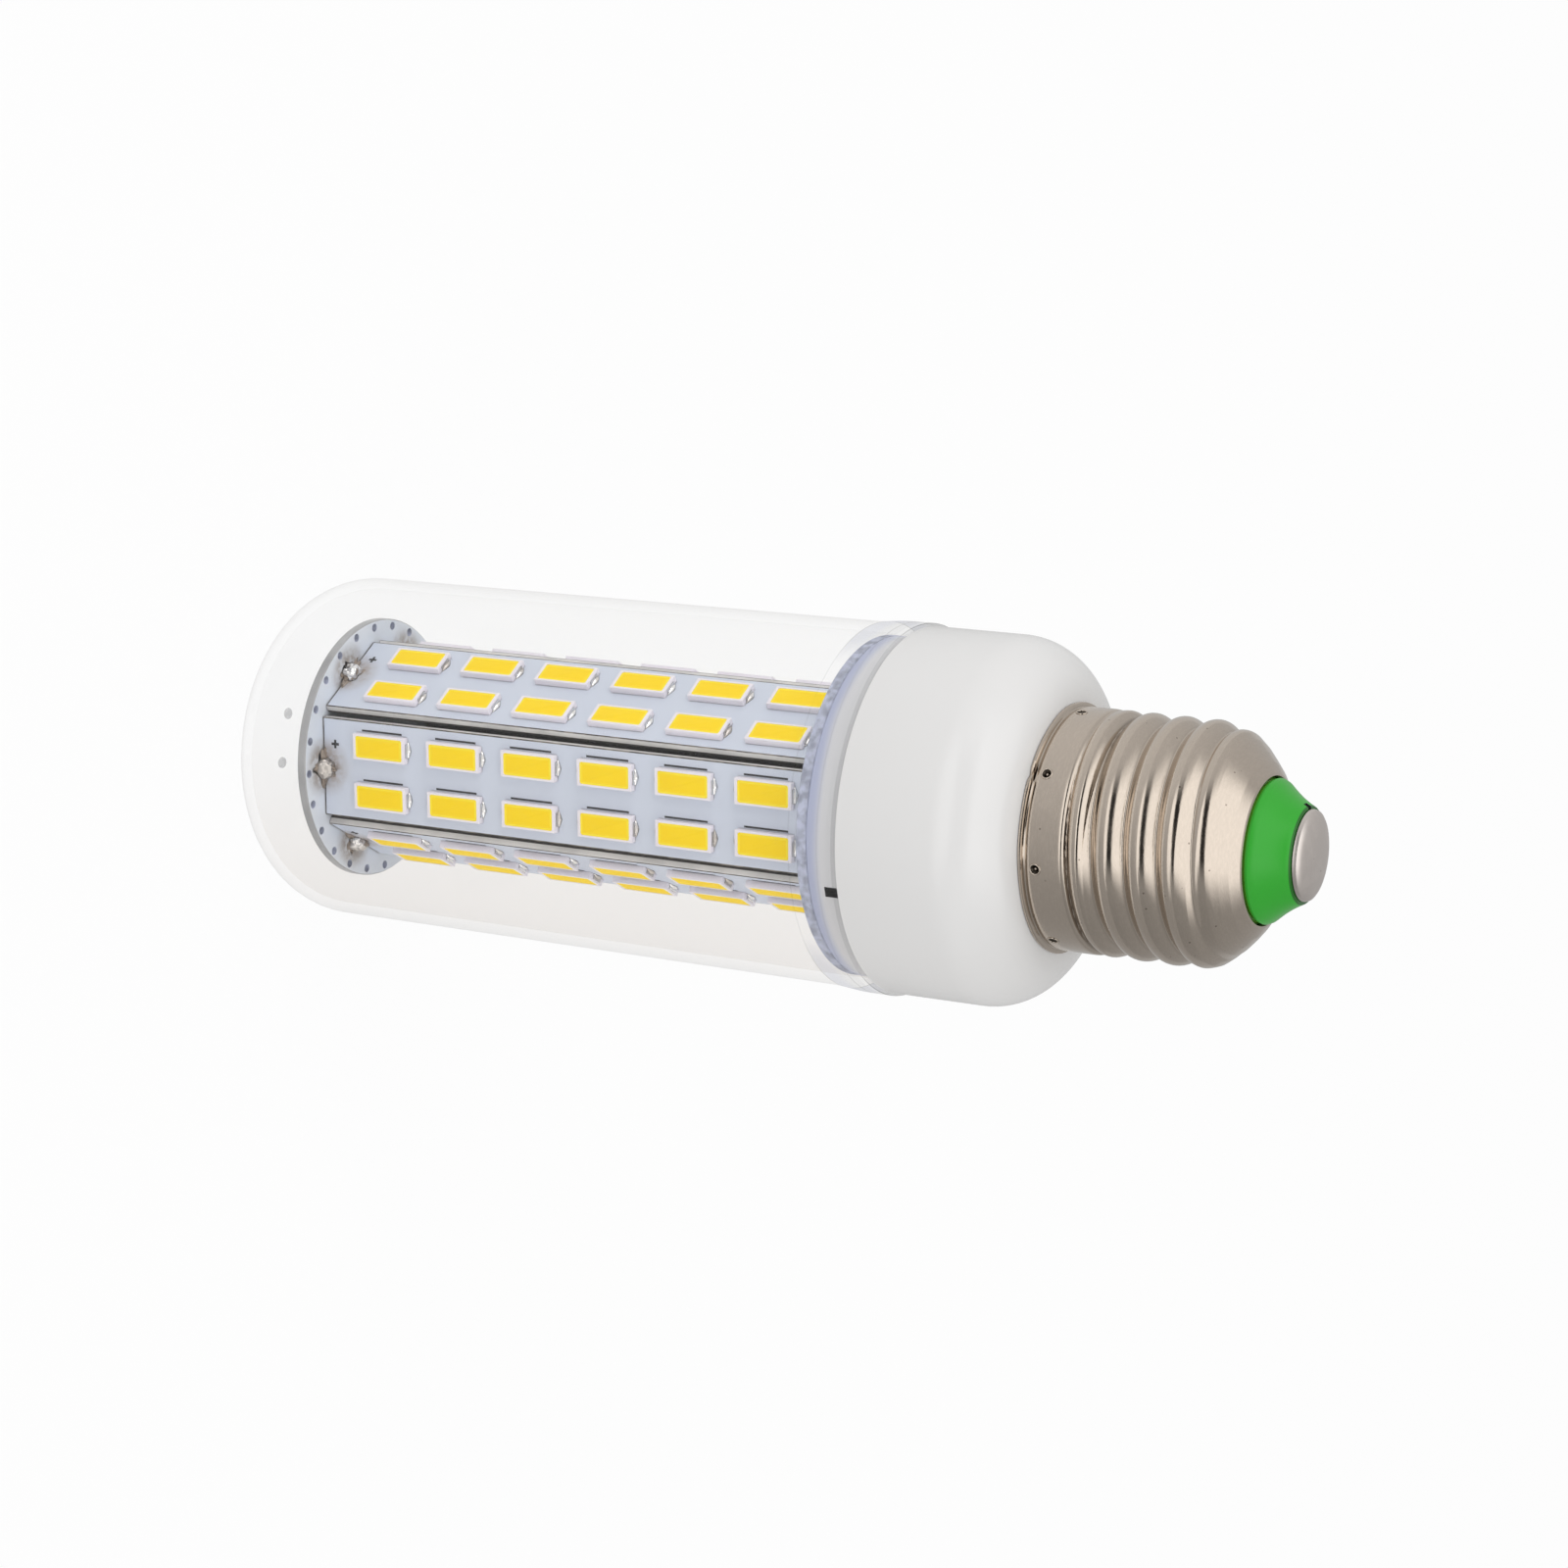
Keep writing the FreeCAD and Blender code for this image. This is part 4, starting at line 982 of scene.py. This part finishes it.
class BULB_OT_tip(bpy.types.Operator):
    """Green insulator and the domed centre contact"""
    bl_idname = "bulb.tip"
    bl_label = "Insulator and Contact"

    def execute(self, context):
        tip = high("cap_insulator") / MM
        self.insulator(low("cap_insulator") / MM, high("screw_cap") / MM, tip)
        self.contact(low("centre_contact") / MM, tip, high("centre_contact") / MM)
        return {"FINISHED"}

    def insulator(self, bottom, mouth, tip):
        """A cone with hollow sides and a small nick at its rim."""
        outline = [(1.5, bottom), (9.0, bottom), (9.0, bottom + 1.7), (7.3, mouth - 0.4),
                   (7.35, mouth + 0.05), (7.62, mouth + 0.15), (7.68, mouth + 0.45),
                   (7.5, mouth + 0.85)]
        side, narrowing, bulge = 3.1, 2.25, 0.16
        for step in range(1, 10):
            part = step / 10
            outline.append((7.5 - narrowing * part + bulge * math.sin(-math.pi * part),
                            mouth + 0.85 + side * part))
        outline += [(5.2, tip - 0.12), (5.08, tip), (1.5, tip)]
        green = turned("green_insulator", outline, 120)
        nick = block("nick_cutter", (0.0047, -0.0004, (tip - 0.55) * MM),
                     (0.0062, 0.0004, (tip + 0.2) * MM))
        cut_out(green, copy_of(nick, "nick", math.radians(178)))
        bpy.data.objects.remove(nick)
        # Painted shade: the nick's faces are painted black
        paint(green, "green", "ink")

        def in_nick(face):
            spot = face.center / MM
            near = spot.x < -4.7 and abs(spot.y) < 0.7 and spot.z > tip - 0.6
            return near and face.area < 2e-6 and (abs(face.normal.z) < 0.3 or spot.z < tip - 0.5)

        sort_faces(green, in_nick)
        ride(green, "green_plastic", "cap_insulator")

    def contact(self, bottom, tip, top):
        """A rivet with a shallow dome."""
        edge, shank, dome = 4.82, 1.3, tip + 0.25
        outline = [(0, bottom), (shank, bottom), (shank, tip - 0.02), (4.7, tip - 0.02),
                   (4.85, tip + 0.1), (edge, dome)]
        for step in range(1, 9):
            part = step / 8
            outline.append((edge * math.cos(part * math.pi / 2),
                            dome + (top - dome) * (1 - (1 - part) ** 2)))
        contact = turned("centre_disc", outline, 96, closed=False)
        ride(paint(contact, "contact"), "contact_metal", "centre_contact")


class BULB_OT_boards(bpy.types.Operator):
    """Round metal boards at both ends of the strips"""
    bl_idname = "bulb.boards"
    bl_label = "Round Boards"

    def execute(self, context):
        self.end_board()
        self.base_board()
        return {"FINISHED"}

    def end_board(self):
        """The board at the closed end, with a ring of small holes."""
        bottom, top = low("end_board") / MM, high("end_board") / MM
        radius, bevel, past = 15.1, 0.12, 0.3
        outline = [(0, bottom), (14.95, bottom), (radius, bottom + bevel), (radius, top - bevel),
                   (radius - bevel, top), (14.8, top), (0, top)]
        board = turned("closed_end_board", outline, 120, closed=False)
        hole_radius, hole_circle, holes_end = 0.00048, 0.0143, 0.0149
        first_hole, holes_apart = 1.6, 15
        drill = rod("drill", hole_radius, (hole_circle, 0, (bottom - past) * MM),
                    (hole_circle, 0, (top + past) * MM), 16)
        angles = [first_hole + holes_apart * number for number in range(24)]
        cut_out(board, ring_of(drill, "drills", angles))
        paint(board, "board", "cut", "rim")

        def finish_of(face):
            if not self.upright(face):
                return 0
            return 2 if math.hypot(*face.center.xy) < holes_end else 1

        sort_faces(board, finish_of)
        ride(board, "board_aluminium", "end_board")

    def base_board(self):
        """The board at the housing's end, with a round hole for the wires."""
        bottom, top = low("base_board") / MM, high("base_board") / MM
        outline = [(6.0, bottom), (18.58, bottom), (SPIGOT, bottom + 0.12), (SPIGOT, top - 0.12),
                   (18.58, top), (6.0, top)]
        board = paint(turned("housing_end_board", outline, 120), "board", "rim")
        sort_faces(board, self.upright)
        ride(board, "board_aluminium", "base_board")

    def upright(self, face):
        """Whether a face belongs to a rim or a hole."""
        return abs(face.normal.z) < 0.9


class BULB_OT_strips(bpy.types.Operator):
    """Metal strips with a coated face, bare edges and black ink marks"""
    bl_idname = "bulb.strips"
    bl_label = "LED Strips"

    def execute(self, context):
        face = -sizes().strip_face
        strip, marks = self.strip(face), self.ink_marks(face)
        for number in STRIPS:
            turn = STRIP_TURN * (number - 1)
            ride(copy_of(strip, "metal_strip_%d" % number, turn), "strip_aluminium",
                 "led_strip_%d" % number)
            ride(copy_of(marks, "ink_marks_%d" % number, turn), "strip_aluminium")
        for single in (strip, marks):
            bpy.data.objects.remove(single)
        return {"FINISHED"}

    def strip(self, face):
        """A strip with a raised coating, a dark line round it and a back painted dark as shade."""
        bottom, top = low("led_strip_1") + 0.00004, high("led_strip_1")
        half, thickness, corner = sizes().strip_width / 2, 0.001, 0.00006
        coating_inset, coating_height = 0.00008, 0.00001
        line_depth, edge_depth = 0.00009, 0.0007
        strip = block("strip", (-half, face, bottom), (half, face + thickness, top), corner)
        open_mesh(strip)
        pick_faces(strip, lambda spot, normal: normal.y < -0.99)
        bpy.ops.mesh.inset(thickness=coating_inset)
        bpy.ops.mesh.extrude_region_move(TRANSFORM_OT_translate={"value": (0, -coating_height, 0)})
        for depth in (line_depth, edge_depth):
            bpy.ops.mesh.select_all(action="SELECT")
            bpy.ops.mesh.bisect(plane_co=(0, face + depth, 0), plane_no=(0, 1, 0))
        close_mesh(30)
        paint(strip, "edge", "mask", "line", "back")

        def finish_of(polygon):
            depth = polygon.center.y - face
            if polygon.normal.y < -0.99:
                return 1 if depth < -coating_height / 2 else 2
            if depth > edge_depth or polygon.normal.y > 0.5:
                return 3
            return 2 if depth < line_depth else 0

        sort_faces(strip, finish_of)
        return strip

    def ink_marks(self, face):
        """A line beside each LED and a plus at the closed end."""
        size = sizes()
        ink, gap, corner = face - 0.00003, 0.00026, 0.00001
        line_half, line_reach, arm_half, arm_reach = 0.00011, 0.0027, 0.00015, 0.0005
        marks = []

        def mark(across, up, half_width, half_height, lift=0.0):
            marks.append(block("mark", (across - half_width, ink - lift, up - half_height),
                               (across + half_width, face, up + half_height), corner, 1))

        for column in (-1, 1):
            for row in range(ROWS):
                mark(column * size.led_column - size.led_width / 2 - gap,
                     size.led_first + row * size.led_pitch, line_half, line_reach)
        across, up = -0.0027, low("led_strip_1") + 0.00165
        mark(across, up, arm_reach, arm_half)
        mark(across, up, arm_half, arm_reach, lift=0.000002)
        return paint(join("marks", marks), "ink")


class BULB_OT_leds(bpy.types.Operator):
    """LED packages with their yellow windows and soldered ends"""
    bl_idname = "bulb.leds"
    bl_label = "LEDs"

    def execute(self, context):
        patterns = (("led_package", self.package(), "led_plastic", "led_bodies"),
                    ("led_window", self.window(), "phosphor", "led_phosphors"),
                    ("led_tin", self.solder(), "solder", "led_solder"))
        for name, single, slot, node in patterns:
            self.repeat(single)
            for number in STRIPS:
                piece = copy_of(single, "%s_%d" % (name, number), STRIP_TURN * (number - 1))
                ride(piece, slot, "%s_%d" % (node, number))
            bpy.data.objects.remove(single)
        return {"FINISHED"}

    def repeat(self, single):
        """The rows and columns of one LED, which stands in the left column at the closed end."""
        size = sizes()
        for count, step in ((ROWS, (0, 0, size.led_pitch)), (COLUMNS, (2 * size.led_column, 0, 0))):
            array = single.modifiers.new("Row", "ARRAY")
            array.use_relative_offset = False
            array.use_constant_offset = True
            array.count = count
            array.constant_offset_displace = step
            apply_modifiers(single)

    def package(self):
        """A box with a cup for the phosphor."""
        size = sizes()
        across, up = -size.led_column, size.led_first
        face = -size.strip_face
        outer = face - size.led_height
        corner, cup_depth, cup_corner = 0.00007, 0.0003, 0.00022
        body = block("package", (across - size.led_width / 2, outer, up - size.led_length / 2),
                     (across + size.led_width / 2, face, up + size.led_length / 2), corner)
        open_mesh(body)
        pick_faces(body, lambda spot, normal: normal.y < -0.99)
        margin = (size.led_width - size.window_width) / 2
        bpy.ops.mesh.inset(thickness=margin - corner)
        shrink = size.window_length / (size.led_length - 2 * margin)
        bpy.ops.transform.resize(value=(1, 1, shrink),
                                 center_override=(across, outer, up))
        bpy.ops.mesh.extrude_region_move(TRANSFORM_OT_translate={"value": (0, cup_depth, 0)})
        floor = outer + 0.00025
        half = size.window_length / 2 + 0.00002

        def cup_edge(start, finish):
            upright = abs(start.y - finish.y) > 0.0002
            return upright and abs(start.z - up) < half and (start.y + finish.y) / 2 < floor

        pick_edges(body, cup_edge)
        bpy.ops.mesh.bevel(offset=cup_corner, segments=3, affect="EDGES")
        close_mesh(40)
        return paint(body, "package")

    def window(self):
        """A slab of phosphor with round corners and a slightly raised middle."""
        size = sizes()
        across, up = -size.led_column, size.led_first
        outer = -size.strip_face - size.led_height
        half_width, half_length = size.window_width / 2, size.window_length / 2
        sunk, back, corner, swell = 0.00005, 0.00029, 0.0003, 0.00003
        slab = block("window", (across - half_width, outer + sunk, up - half_length),
                     (across + half_width, outer + back, up + half_length))
        open_mesh(slab)
        pick_edges(slab, lambda start, finish: abs(start.y - finish.y) > 0.0001)
        bpy.ops.mesh.bevel(offset=corner, segments=4, affect="EDGES")
        pick_faces(slab, lambda spot, normal: normal.y < -0.99)
        bpy.ops.mesh.inset(thickness=corner)
        bpy.ops.transform.translate(value=(0, -swell, 0))
        close_mesh(60)
        paint(slab, "phosphor", "glow")
        sort_faces(slab, lambda face: face.normal.y > -0.999)
        return slab

    def solder(self):
        """A terminal and a sloping fillet of tin at each end of the package."""
        size = sizes()
        across, up = -size.led_column, size.led_first
        face = -size.strip_face
        half_width, height, reach, taper = 0.0010, 0.00042, 0.0005, 0.35
        lead_half, lead_top, lead_foot, lead_thickness = 0.0008, 0.00055, 0.00005, 0.0001
        pieces = []
        for end in (-1, 1):
            near = up + end * size.led_length / 2
            put_down()
            bpy.ops.mesh.primitive_uv_sphere_add(segments=24, ring_count=14, radius=1)
            lump = bpy.context.object
            for vert in lump.data.vertices:
                spot = vert.co.copy()
                pinch = 1 - taper * abs(spot.x)
                vert.co = (across + half_width * spot.x, face + height * min(spot.y, 0.1) * pinch,
                           near + end * (reach * abs(spot.z) * pinch - 0.00002))
            close_smooth(lump, 50)
            start, finish = sorted((near, near + end * lead_thickness))
            lead = block("lead", (across - lead_half, face - lead_top, start),
                         (across + lead_half, face - lead_foot, finish), 0.00003)
            pieces += [lump, lead]
        return paint(join("tin", pieces), "tin")


class BULB_OT_joints(bpy.types.Operator):
    """Lumps of solder that join the strips to the round boards"""
    bl_idname = "bulb.joints"
    bl_label = "Solder Joints"

    def execute(self, context):
        # Reach along the strip's width, outwards and along the axis, roughness and fullness
        tin = ((0.0012, 0.0015, 0.0016), 0.2, 0.65)
        flux = ((0.0024, 0.0021, 0.0020), 0.8, 1.5)
        for end, node, height, way in (("closed_end", "end_joints", high("end_board"), 1),
                                       ("housing_end", "base_joints", low("base_board"), -1)):
            lumps, pools = [], []
            for number in STRIPS:
                lumps.append(self.lump(number, height, way, *tin))
                pools.append(self.lump(number, height, way, *flux))
            ride(paint(join(end + "_joints", lumps), "tin"), "solder", node)
            ride(paint(join(end + "_flux", pools), "flux"), "solder")
        return {"FINISHED"}

    def lump(self, number, height, way, reach, rough, power):
        """One lump in the corner between a strip and a board. A high power makes it hollow."""
        put_down()
        bpy.ops.mesh.primitive_ico_sphere_add(subdivisions=5, radius=1, location=(0, 0, 0))
        lump = bpy.context.object
        # Broad and fine waves, different on each joint
        broad, fine, fine_share = 1.6, 4.3, 0.5
        for vert in lump.data.vertices:
            spot = vert.co.normalized()
            wave = noise.noise(spot * broad + Vector((3.7 * number, way, 0)))
            wave += fine_share * noise.noise(spot * fine + Vector((0, 5.1 * number, way)))
            swell = 1 - rough * (0.6 - wave) / 1.4
            vert.co = (math.copysign(abs(spot.x) ** power, spot.x) * swell * reach[0],
                       -max(-spot.y, 0) ** power * swell * reach[1],
                       way * max(spot.z * way, 0) ** power * swell * reach[2])
        lump.location = (0.0002, -sizes().strip_face, height)
        settle(lump)
        mend(lump, 0.002, 40)
        lump.rotation_euler.z = STRIP_TURN * (number - 1)
        return settle(lump)


class BULB_OT_driver(bpy.types.Operator):
    """Finishes of the driver board, its parts and the wires inside the housing"""
    bl_idname = "bulb.driver"
    bl_label = "Driver Finishes"

    def execute(self, context):
        keys = {"driver_board": "laminate", "film_capacitor": "film",
                "electrolytic_capacitor": "sleeve", "bridge_rectifier": "moulded",
                "fuse_resistor": "fuse", "bleed_resistor": "bleeder", "live_wire": "red_wire",
                "neutral_wire": "white_wire", "positive_wire": "red_wire",
                "negative_wire": "white_wire"}
        for node, key in keys.items():
            paint(NODES[node], key)
        self.squeezed_wire()
        return {"FINISHED"}

    def squeezed_wire(self):
        """The neutral wire, with its end pressed flat between the neck and the thread."""
        put_down()
        wire = NODES["neutral_wire"].copy()
        wire.data = wire.data.copy()
        wire.name = "neutral_lead"
        bpy.context.scene.collection.objects.link(wire)
        neck, thickness_left = 0.01167, 0.06
        for vert in wire.data.vertices:
            radius = math.hypot(vert.co.x, vert.co.y)
            if radius > neck:
                shrink = (neck + (radius - neck) * thickness_left) / radius
                vert.co.x *= shrink
                vert.co.y *= shrink
        ride(wire, "wire_white", "neutral_wire")


class BULB_OT_stage(bpy.types.Operator):
    """Floor, lamps, surroundings and camera"""
    bl_idname = "bulb.stage"
    bl_label = "Stage"

    def execute(self, context):
        self.floor()
        self.surroundings()
        self.lamps()
        self.camera()
        return {"FINISHED"}

    def floor(self):
        """A white floor just under the bulb, with its own brightness in mirrors."""
        put_down()
        width, gap = 6, 0.00003
        bpy.ops.mesh.primitive_plane_add(size=width, location=(0, 0, -gap))
        floor = bpy.context.object
        floor.name = "floor"
        settle(floor)
        material = bpy.data.materials.new("White floor")
        material.use_nodes = True
        tree = material.node_tree
        tree.nodes.clear()
        rays = place(tree, "LightPath").outputs
        white = (1, 1, 1, 1)
        matt = place(tree, "BsdfDiffuse", {"Color": (0.8, 0.8, 0.8, 1)}).outputs[0]
        glow = place(tree, "Emission", {"Color": white, "Strength": 1.0}).outputs[0]
        seen = maths(tree, "MAXIMUM", rays["Is Camera Ray"], rays["Is Transmission Ray"])
        direct = place(tree, "MixShader", {0: times(tree, seen, 0.95), 1: matt, 2: glow})
        shine = place(tree, "Emission", {"Color": white, "Strength": self.floor_in_mirrors(tree)})
        mirrored = maths(tree, "SUBTRACT", rays["Is Glossy Ray"], rays["Is Transmission Ray"],
                         clamp=True)
        both = place(tree, "MixShader", {0: mirrored, 1: direct.outputs[0], 2: shine.outputs[0]})
        out = tree.nodes.new("ShaderNodeOutputMaterial")
        tree.links.new(both.outputs[0], out.inputs["Surface"])
        floor.data.materials.append(material)

    def floor_in_mirrors(self, tree):
        """Brightness by side, with a bright far part towards the camera."""
        spot = place(tree, "TexCoord").outputs["Object"]
        away = vectors(tree, "LENGTH", spot).outputs["Value"]
        way = vectors(tree, "NORMALIZE", spot).outputs[0]
        side = vectors(tree, "DOT_PRODUCT", way, ACROSS).outputs["Value"]
        ahead = vectors(tree, "DOT_PRODUCT", way, TOWARDS).outputs["Value"]
        far = times(tree, fade(tree, away, 0.24, 0.6), fade(tree, ahead, 0.55, 0.9))
        return maths(tree, "MULTIPLY_ADD", far, 0.7, line(tree, side, -0.16, 0.5))

    def surroundings(self):
        """White to the camera, soft light for matt surfaces, and a studio for mirrors."""
        world = bpy.data.worlds.new("Studio")
        world.use_nodes = True
        tree = world.node_tree
        tree.nodes.clear()
        rays = place(tree, "LightPath").outputs
        sight = place(tree, "TexCoord").outputs["Generated"]
        way = axes(tree, sight)
        sweep = line(tree, way["X"], -0.15, 0.65)
        sweep = maths(tree, "MULTIPLY_ADD", way["Z"], 0.25, sweep, clamp=True)
        soft = line(tree, sweep, 0.5, 0.28)
        seen = maths(tree, "MAXIMUM", rays["Is Camera Ray"], rays["Is Transmission Ray"])
        level = self.choose(tree, rays["Is Glossy Ray"], self.studio(tree, sight), soft)
        level = self.choose(tree, seen, 1.0, level)
        back = place(tree, "Background", {"Color": (1, 1, 1, 1), "Strength": level})
        out = tree.nodes.new("ShaderNodeOutputWorld")
        tree.links.new(back.outputs[0], out.inputs["Surface"])
        bpy.context.scene.world = world

    def choose(self, tree, mask, inside, outside):
        """One value where a mask is 1, another where it is 0."""
        return maths(tree, "ADD", times(tree, mask, inside),
                     times(tree, maths(tree, "SUBTRACT", 1.0, mask), outside))

    def studio(self, tree, sight):
        """What mirrors see: a bright panel behind the camera with a dark band across it."""
        def along(direction):
            return vectors(tree, "DOT_PRODUCT", sight, direction).outputs["Value"]

        across = along(ACROSS)
        beside = maths(tree, "ABSOLUTE", maths(tree, "ADD", across, 0.12))
        panel = times(tree, fade(tree, beside, 0.8, 0.4), fade(tree, along(TO_CAMERA), -0.1, 0.3))
        dark = fade(tree, maths(tree, "ABSOLUTE", along(OVER_CAMERA)), 0.34, 0.16)
        lit = line(tree, dark, -1.22, 1.25)
        rest = line(tree, across, -0.15, 0.43)
        return maths(tree, "MULTIPLY_ADD", panel, maths(tree, "SUBTRACT", lit, rest), rest)

    def lamps(self):
        """Three square lamps that mirrors don't show, aimed at the bulb's middle."""
        middle = Vector((0, 0, 0.06))
        for name, spot, side, watts in (
                ("Key lamp", (-0.82, -0.33, 0.5), 0.6, 2.5),
                ("Fill lamp", (0.75, -0.45, 0.15), 0.6, 1.3),
                ("Cap lamp", (0.3, -0.5, 0.8), 0.5, 0.9)):
            put_down()
            bpy.ops.object.light_add(type="AREA", location=spot)
            lamp = bpy.context.object
            lamp.name = name
            lamp.data.size = side
            lamp.data.energy = watts
            lamp.visible_glossy = False
            lamp.rotation_euler = (middle - Vector(spot)).to_track_quat("-Z", "Y").to_euler()

    def camera(self):
        """The photograph's camera and the plain view transform."""
        put_down()
        bpy.ops.object.camera_add()
        camera = bpy.context.object
        rows = [(right, -down, -ahead, spot) for right, down, ahead, spot
                in zip(CAMERA_RIGHT, CAMERA_DOWN, CAMERA_AHEAD, CAMERA_PLACE)]
        camera.matrix_world = Matrix(rows + [(0, 0, 0, 1)])
        camera.data.sensor_width = CAMERA_SENSOR
        camera.data.lens = CAMERA_LENS
        camera.data.clip_start = 0.01
        bpy.context.scene.camera = camera
        bpy.context.scene.view_settings.view_transform = "Standard"


class BULB_PT_panel(bpy.types.Panel):
    """Lists the sizes, colours and pieces of the bulb"""
    bl_idname = "BULB_PT_panel"
    bl_label = "Corn LED Bulb"
    bl_space_type = "VIEW_3D"
    bl_region_type = "UI"
    bl_category = "Bulb"

    def draw(self, context):
        for group in (context.scene.bulb_sizes, context.scene.bulb_colours):
            box = self.layout.box()
            for name in group.bl_rna.properties.keys():
                if name not in ("rna_type", "name"):
                    box.prop(group, name)
        for operator in OPERATORS:
            self.layout.operator(operator.bl_idname)


OPERATORS = (BULB_OT_cover, BULB_OT_housing, BULB_OT_cap, BULB_OT_tip, BULB_OT_boards,
             BULB_OT_strips, BULB_OT_leds, BULB_OT_joints, BULB_OT_driver, BULB_OT_stage)
CLASSES = (BulbSizes, BulbColours) + OPERATORS + (BULB_PT_panel,)


def register():
    for item in CLASSES:
        bpy.utils.register_class(item)
    bpy.types.Scene.bulb_sizes = bpy.props.PointerProperty(type=BulbSizes)
    bpy.types.Scene.bulb_colours = bpy.props.PointerProperty(type=BulbColours)


def unregister():
    del bpy.types.Scene.bulb_colours
    del bpy.types.Scene.bulb_sizes
    for item in reversed(CLASSES):
        bpy.utils.unregister_class(item)


def main():
    register()
    make_finishes()
    bpy.ops.bulb.cover()
    bpy.ops.bulb.housing()
    bpy.ops.bulb.cap()
    bpy.ops.bulb.tip()
    bpy.ops.bulb.boards()
    bpy.ops.bulb.strips()
    bpy.ops.bulb.leds()
    bpy.ops.bulb.joints()
    bpy.ops.bulb.driver()
    bpy.ops.bulb.stage()
    put_down()


if __name__ == "__main__":
    main()
